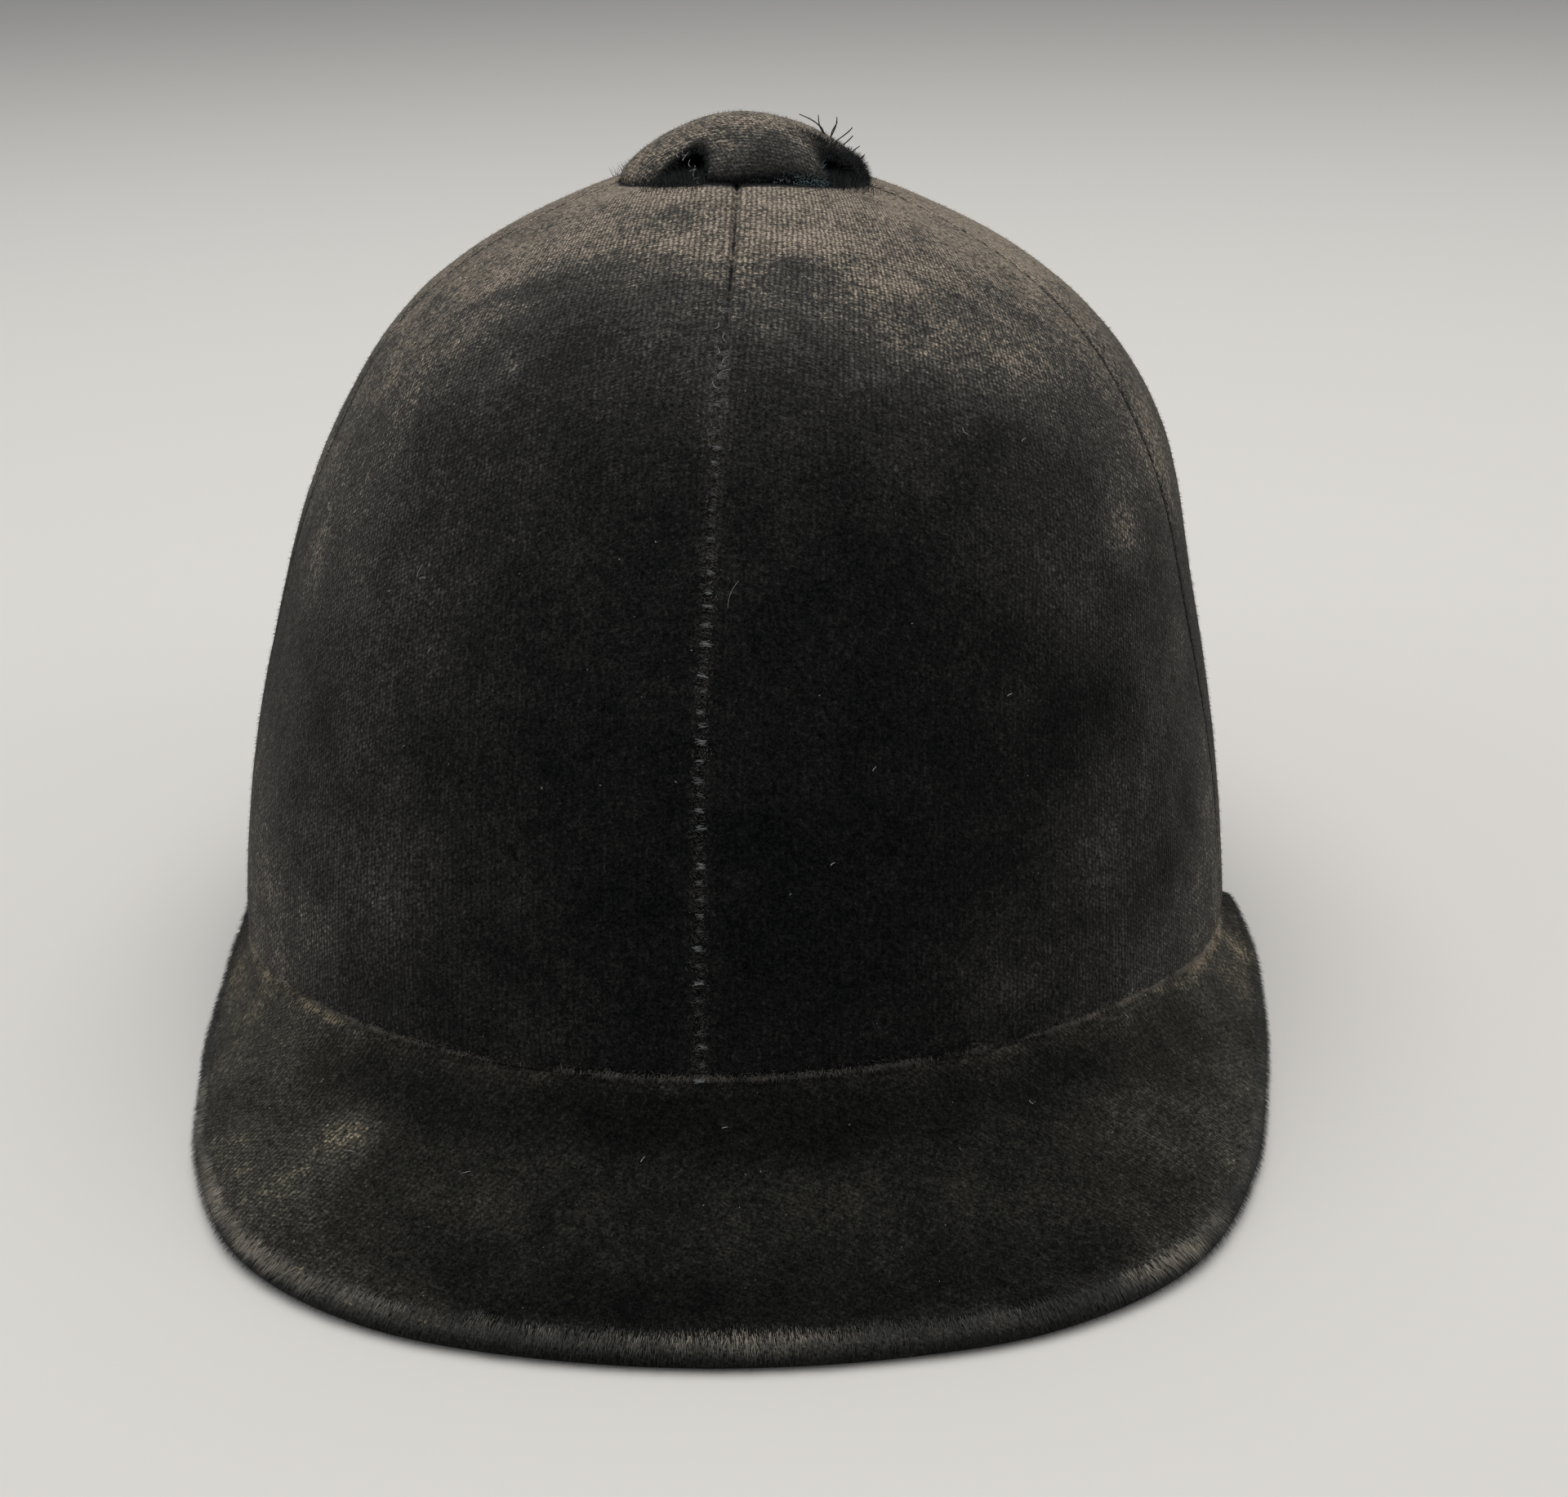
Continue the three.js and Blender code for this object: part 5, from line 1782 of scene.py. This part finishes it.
class HUNTCAP_OT_lint(bpy.types.Operator):
    """Leaves bits of lint and dust on the velvet."""

    bl_idname = "hunt_cap.lint"
    bl_label = "Lint and dust"

    def execute(self, context):
        peak = context.scene.hunt_cap_peak
        bits = [crown_lint(bit) for bit in CROWN_LINT]
        bits += [peak_lint(bit, peak) for bit in PEAK_LINT]
        bits += [vent_lint(bit) for bit in VENT_LINT]
        mesh = make_mesh("lint", join_shapes(bits))
        finish_piece(place("lint", mesh, finish("lint")), "crown_velvet")

        def evenly(grid, wear):
            return clear_of_button(grid)

        dust = context.scene.hunt_cap_nap.dust_density
        grow_nap(
            "crown_dust", crown_grounds(context, PANELS, evenly), "crown_velvet", "lint",
            density=dust, length=0.4, thickness=0.2, spread=2.5, seed=18,
        )
        shape = peak_shape(peak)
        grow_nap(
            "peak_dust", [ground(shape, 3.0 * (shape.values["share"] < 1.1))], "peak_velvet", "lint",
            density=dust, length=0.35, thickness=0.18, spread=2.5, seed=19,
        )
        return {"FINISHED"}


def studio_lamp(lamp):
    """A soft square lamp that faces the cap."""
    light = bpy.data.lights.new(lamp.name, "AREA")
    light.shape = "SQUARE"
    light.size = lamp.size
    light.energy = lamp.power
    light.color = lamp.colour
    holder = bpy.data.objects.new(lamp.name, light)
    holder.location = lamp.place
    facing = Vector((0, 0, LAMP_AIM_HEIGHT)) - holder.location
    holder.rotation_euler = facing.to_track_quat("-Z", "Y").to_euler()
    bpy.context.scene.collection.objects.link(holder)


def view_camera(stage):
    """The camera at the photograph's angle to the cap."""
    turn = Matrix.Rotation(stage.camera_turn, 4, "Z")
    tilt = Matrix.Rotation(math.pi / 2 - stage.camera_tilt, 4, "X")
    lean = Matrix.Rotation(-stage.camera_roll, 4, "Z")
    camera = bpy.data.cameras.new("camera")
    camera.sensor_fit = "HORIZONTAL"
    camera.sensor_width = SENSOR_WIDTH
    camera.lens = stage.focal_pixels / PICTURE_WIDTH * SENSOR_WIDTH
    camera.shift_x = stage.shift_pixels / PICTURE_WIDTH
    camera.clip_start = 0.01
    holder = bpy.data.objects.new("camera", camera)
    holder.matrix_world = turn @ tilt @ lean
    holder.location = to_metres(turn @ Vector((0, -stage.camera_distance, stage.camera_height)))
    bpy.context.scene.collection.objects.link(holder)
    bpy.context.scene.camera = holder


class HUNTCAP_OT_stage(bpy.types.Operator):
    """Sets up the pale floor, the soft studio light and the camera."""

    bl_idname = "hunt_cap.stage"
    bl_label = "Stage"

    def execute(self, context):
        stage = context.scene.hunt_cap_stage
        material, nodes, shader = new_material("pale_floor")
        nodes.feed(shader, Base_Color=(*stage.floor_colour, 1.0), Roughness=0.85, Specular_IOR_Level=0.2)
        mesh = bpy.data.meshes.new("floor")
        corners = [(FLOOR_HALF * x, FLOOR_HALF * y, 0) for x, y in ((-1, -1), (1, -1), (1, 1), (-1, 1))]
        mesh.from_pydata(corners, [], [(0, 1, 2, 3)])
        place("floor", mesh, material)
        for lamp in LAMPS:
            studio_lamp(lamp)

        world = bpy.data.worlds.new("soft_light")
        world.use_nodes = True
        sky = world.node_tree.nodes["Background"]
        sky.inputs["Color"].default_value = (0.93, 0.96, 1.0, 1.0)
        sky.inputs["Strength"].default_value = stage.sky_strength
        context.scene.world = world
        context.scene.view_settings.view_transform = "Standard"
        view_camera(stage)
        return {"FINISHED"}


STEPS = (
    HUNTCAP_OT_crown,
    HUNTCAP_OT_peak,
    HUNTCAP_OT_button,
    HUNTCAP_OT_stitches,
    HUNTCAP_OT_crown_nap,
    HUNTCAP_OT_seam_nap,
    HUNTCAP_OT_peak_nap,
    HUNTCAP_OT_button_nap,
    HUNTCAP_OT_lint,
    HUNTCAP_OT_stage,
)

SETTINGS = {
    "hunt_cap_crown": HuntCapCrownSettings,
    "hunt_cap_peak": HuntCapPeakSettings,
    "hunt_cap_button": HuntCapButtonSettings,
    "hunt_cap_nap": HuntCapNapSettings,
    "hunt_cap_velvet": HuntCapVelvetSettings,
    "hunt_cap_stage": HuntCapStageSettings,
}


class HUNTCAP_PT_sidebar(bpy.types.Panel):
    """Lists the cap's pieces and their settings."""

    bl_label = "Hunt Cap"
    bl_idname = "HUNTCAP_PT_sidebar"
    bl_space_type = "VIEW_3D"
    bl_region_type = "UI"
    bl_category = "Hunt Cap"

    def draw(self, context):
        for step in STEPS:
            self.layout.operator(step.bl_idname)
        for name, group in SETTINGS.items():
            box = self.layout.box()
            for key in group.__annotations__:
                box.prop(getattr(context.scene, name), key)


def register():
    for name, group in SETTINGS.items():
        bpy.utils.register_class(group)
        setattr(bpy.types.Scene, name, PointerProperty(type=group))
    for step in STEPS:
        bpy.utils.register_class(step)
    bpy.utils.register_class(HUNTCAP_PT_sidebar)


def unregister():
    bpy.utils.unregister_class(HUNTCAP_PT_sidebar)
    for step in reversed(STEPS):
        bpy.utils.unregister_class(step)
    for name, group in SETTINGS.items():
        delattr(bpy.types.Scene, name)
        bpy.utils.unregister_class(group)


def main():
    register()
    for step in STEPS:
        area, name = step.bl_idname.split(".")
        getattr(getattr(bpy.ops, area), name)()


if __name__ == "__main__":
    main()
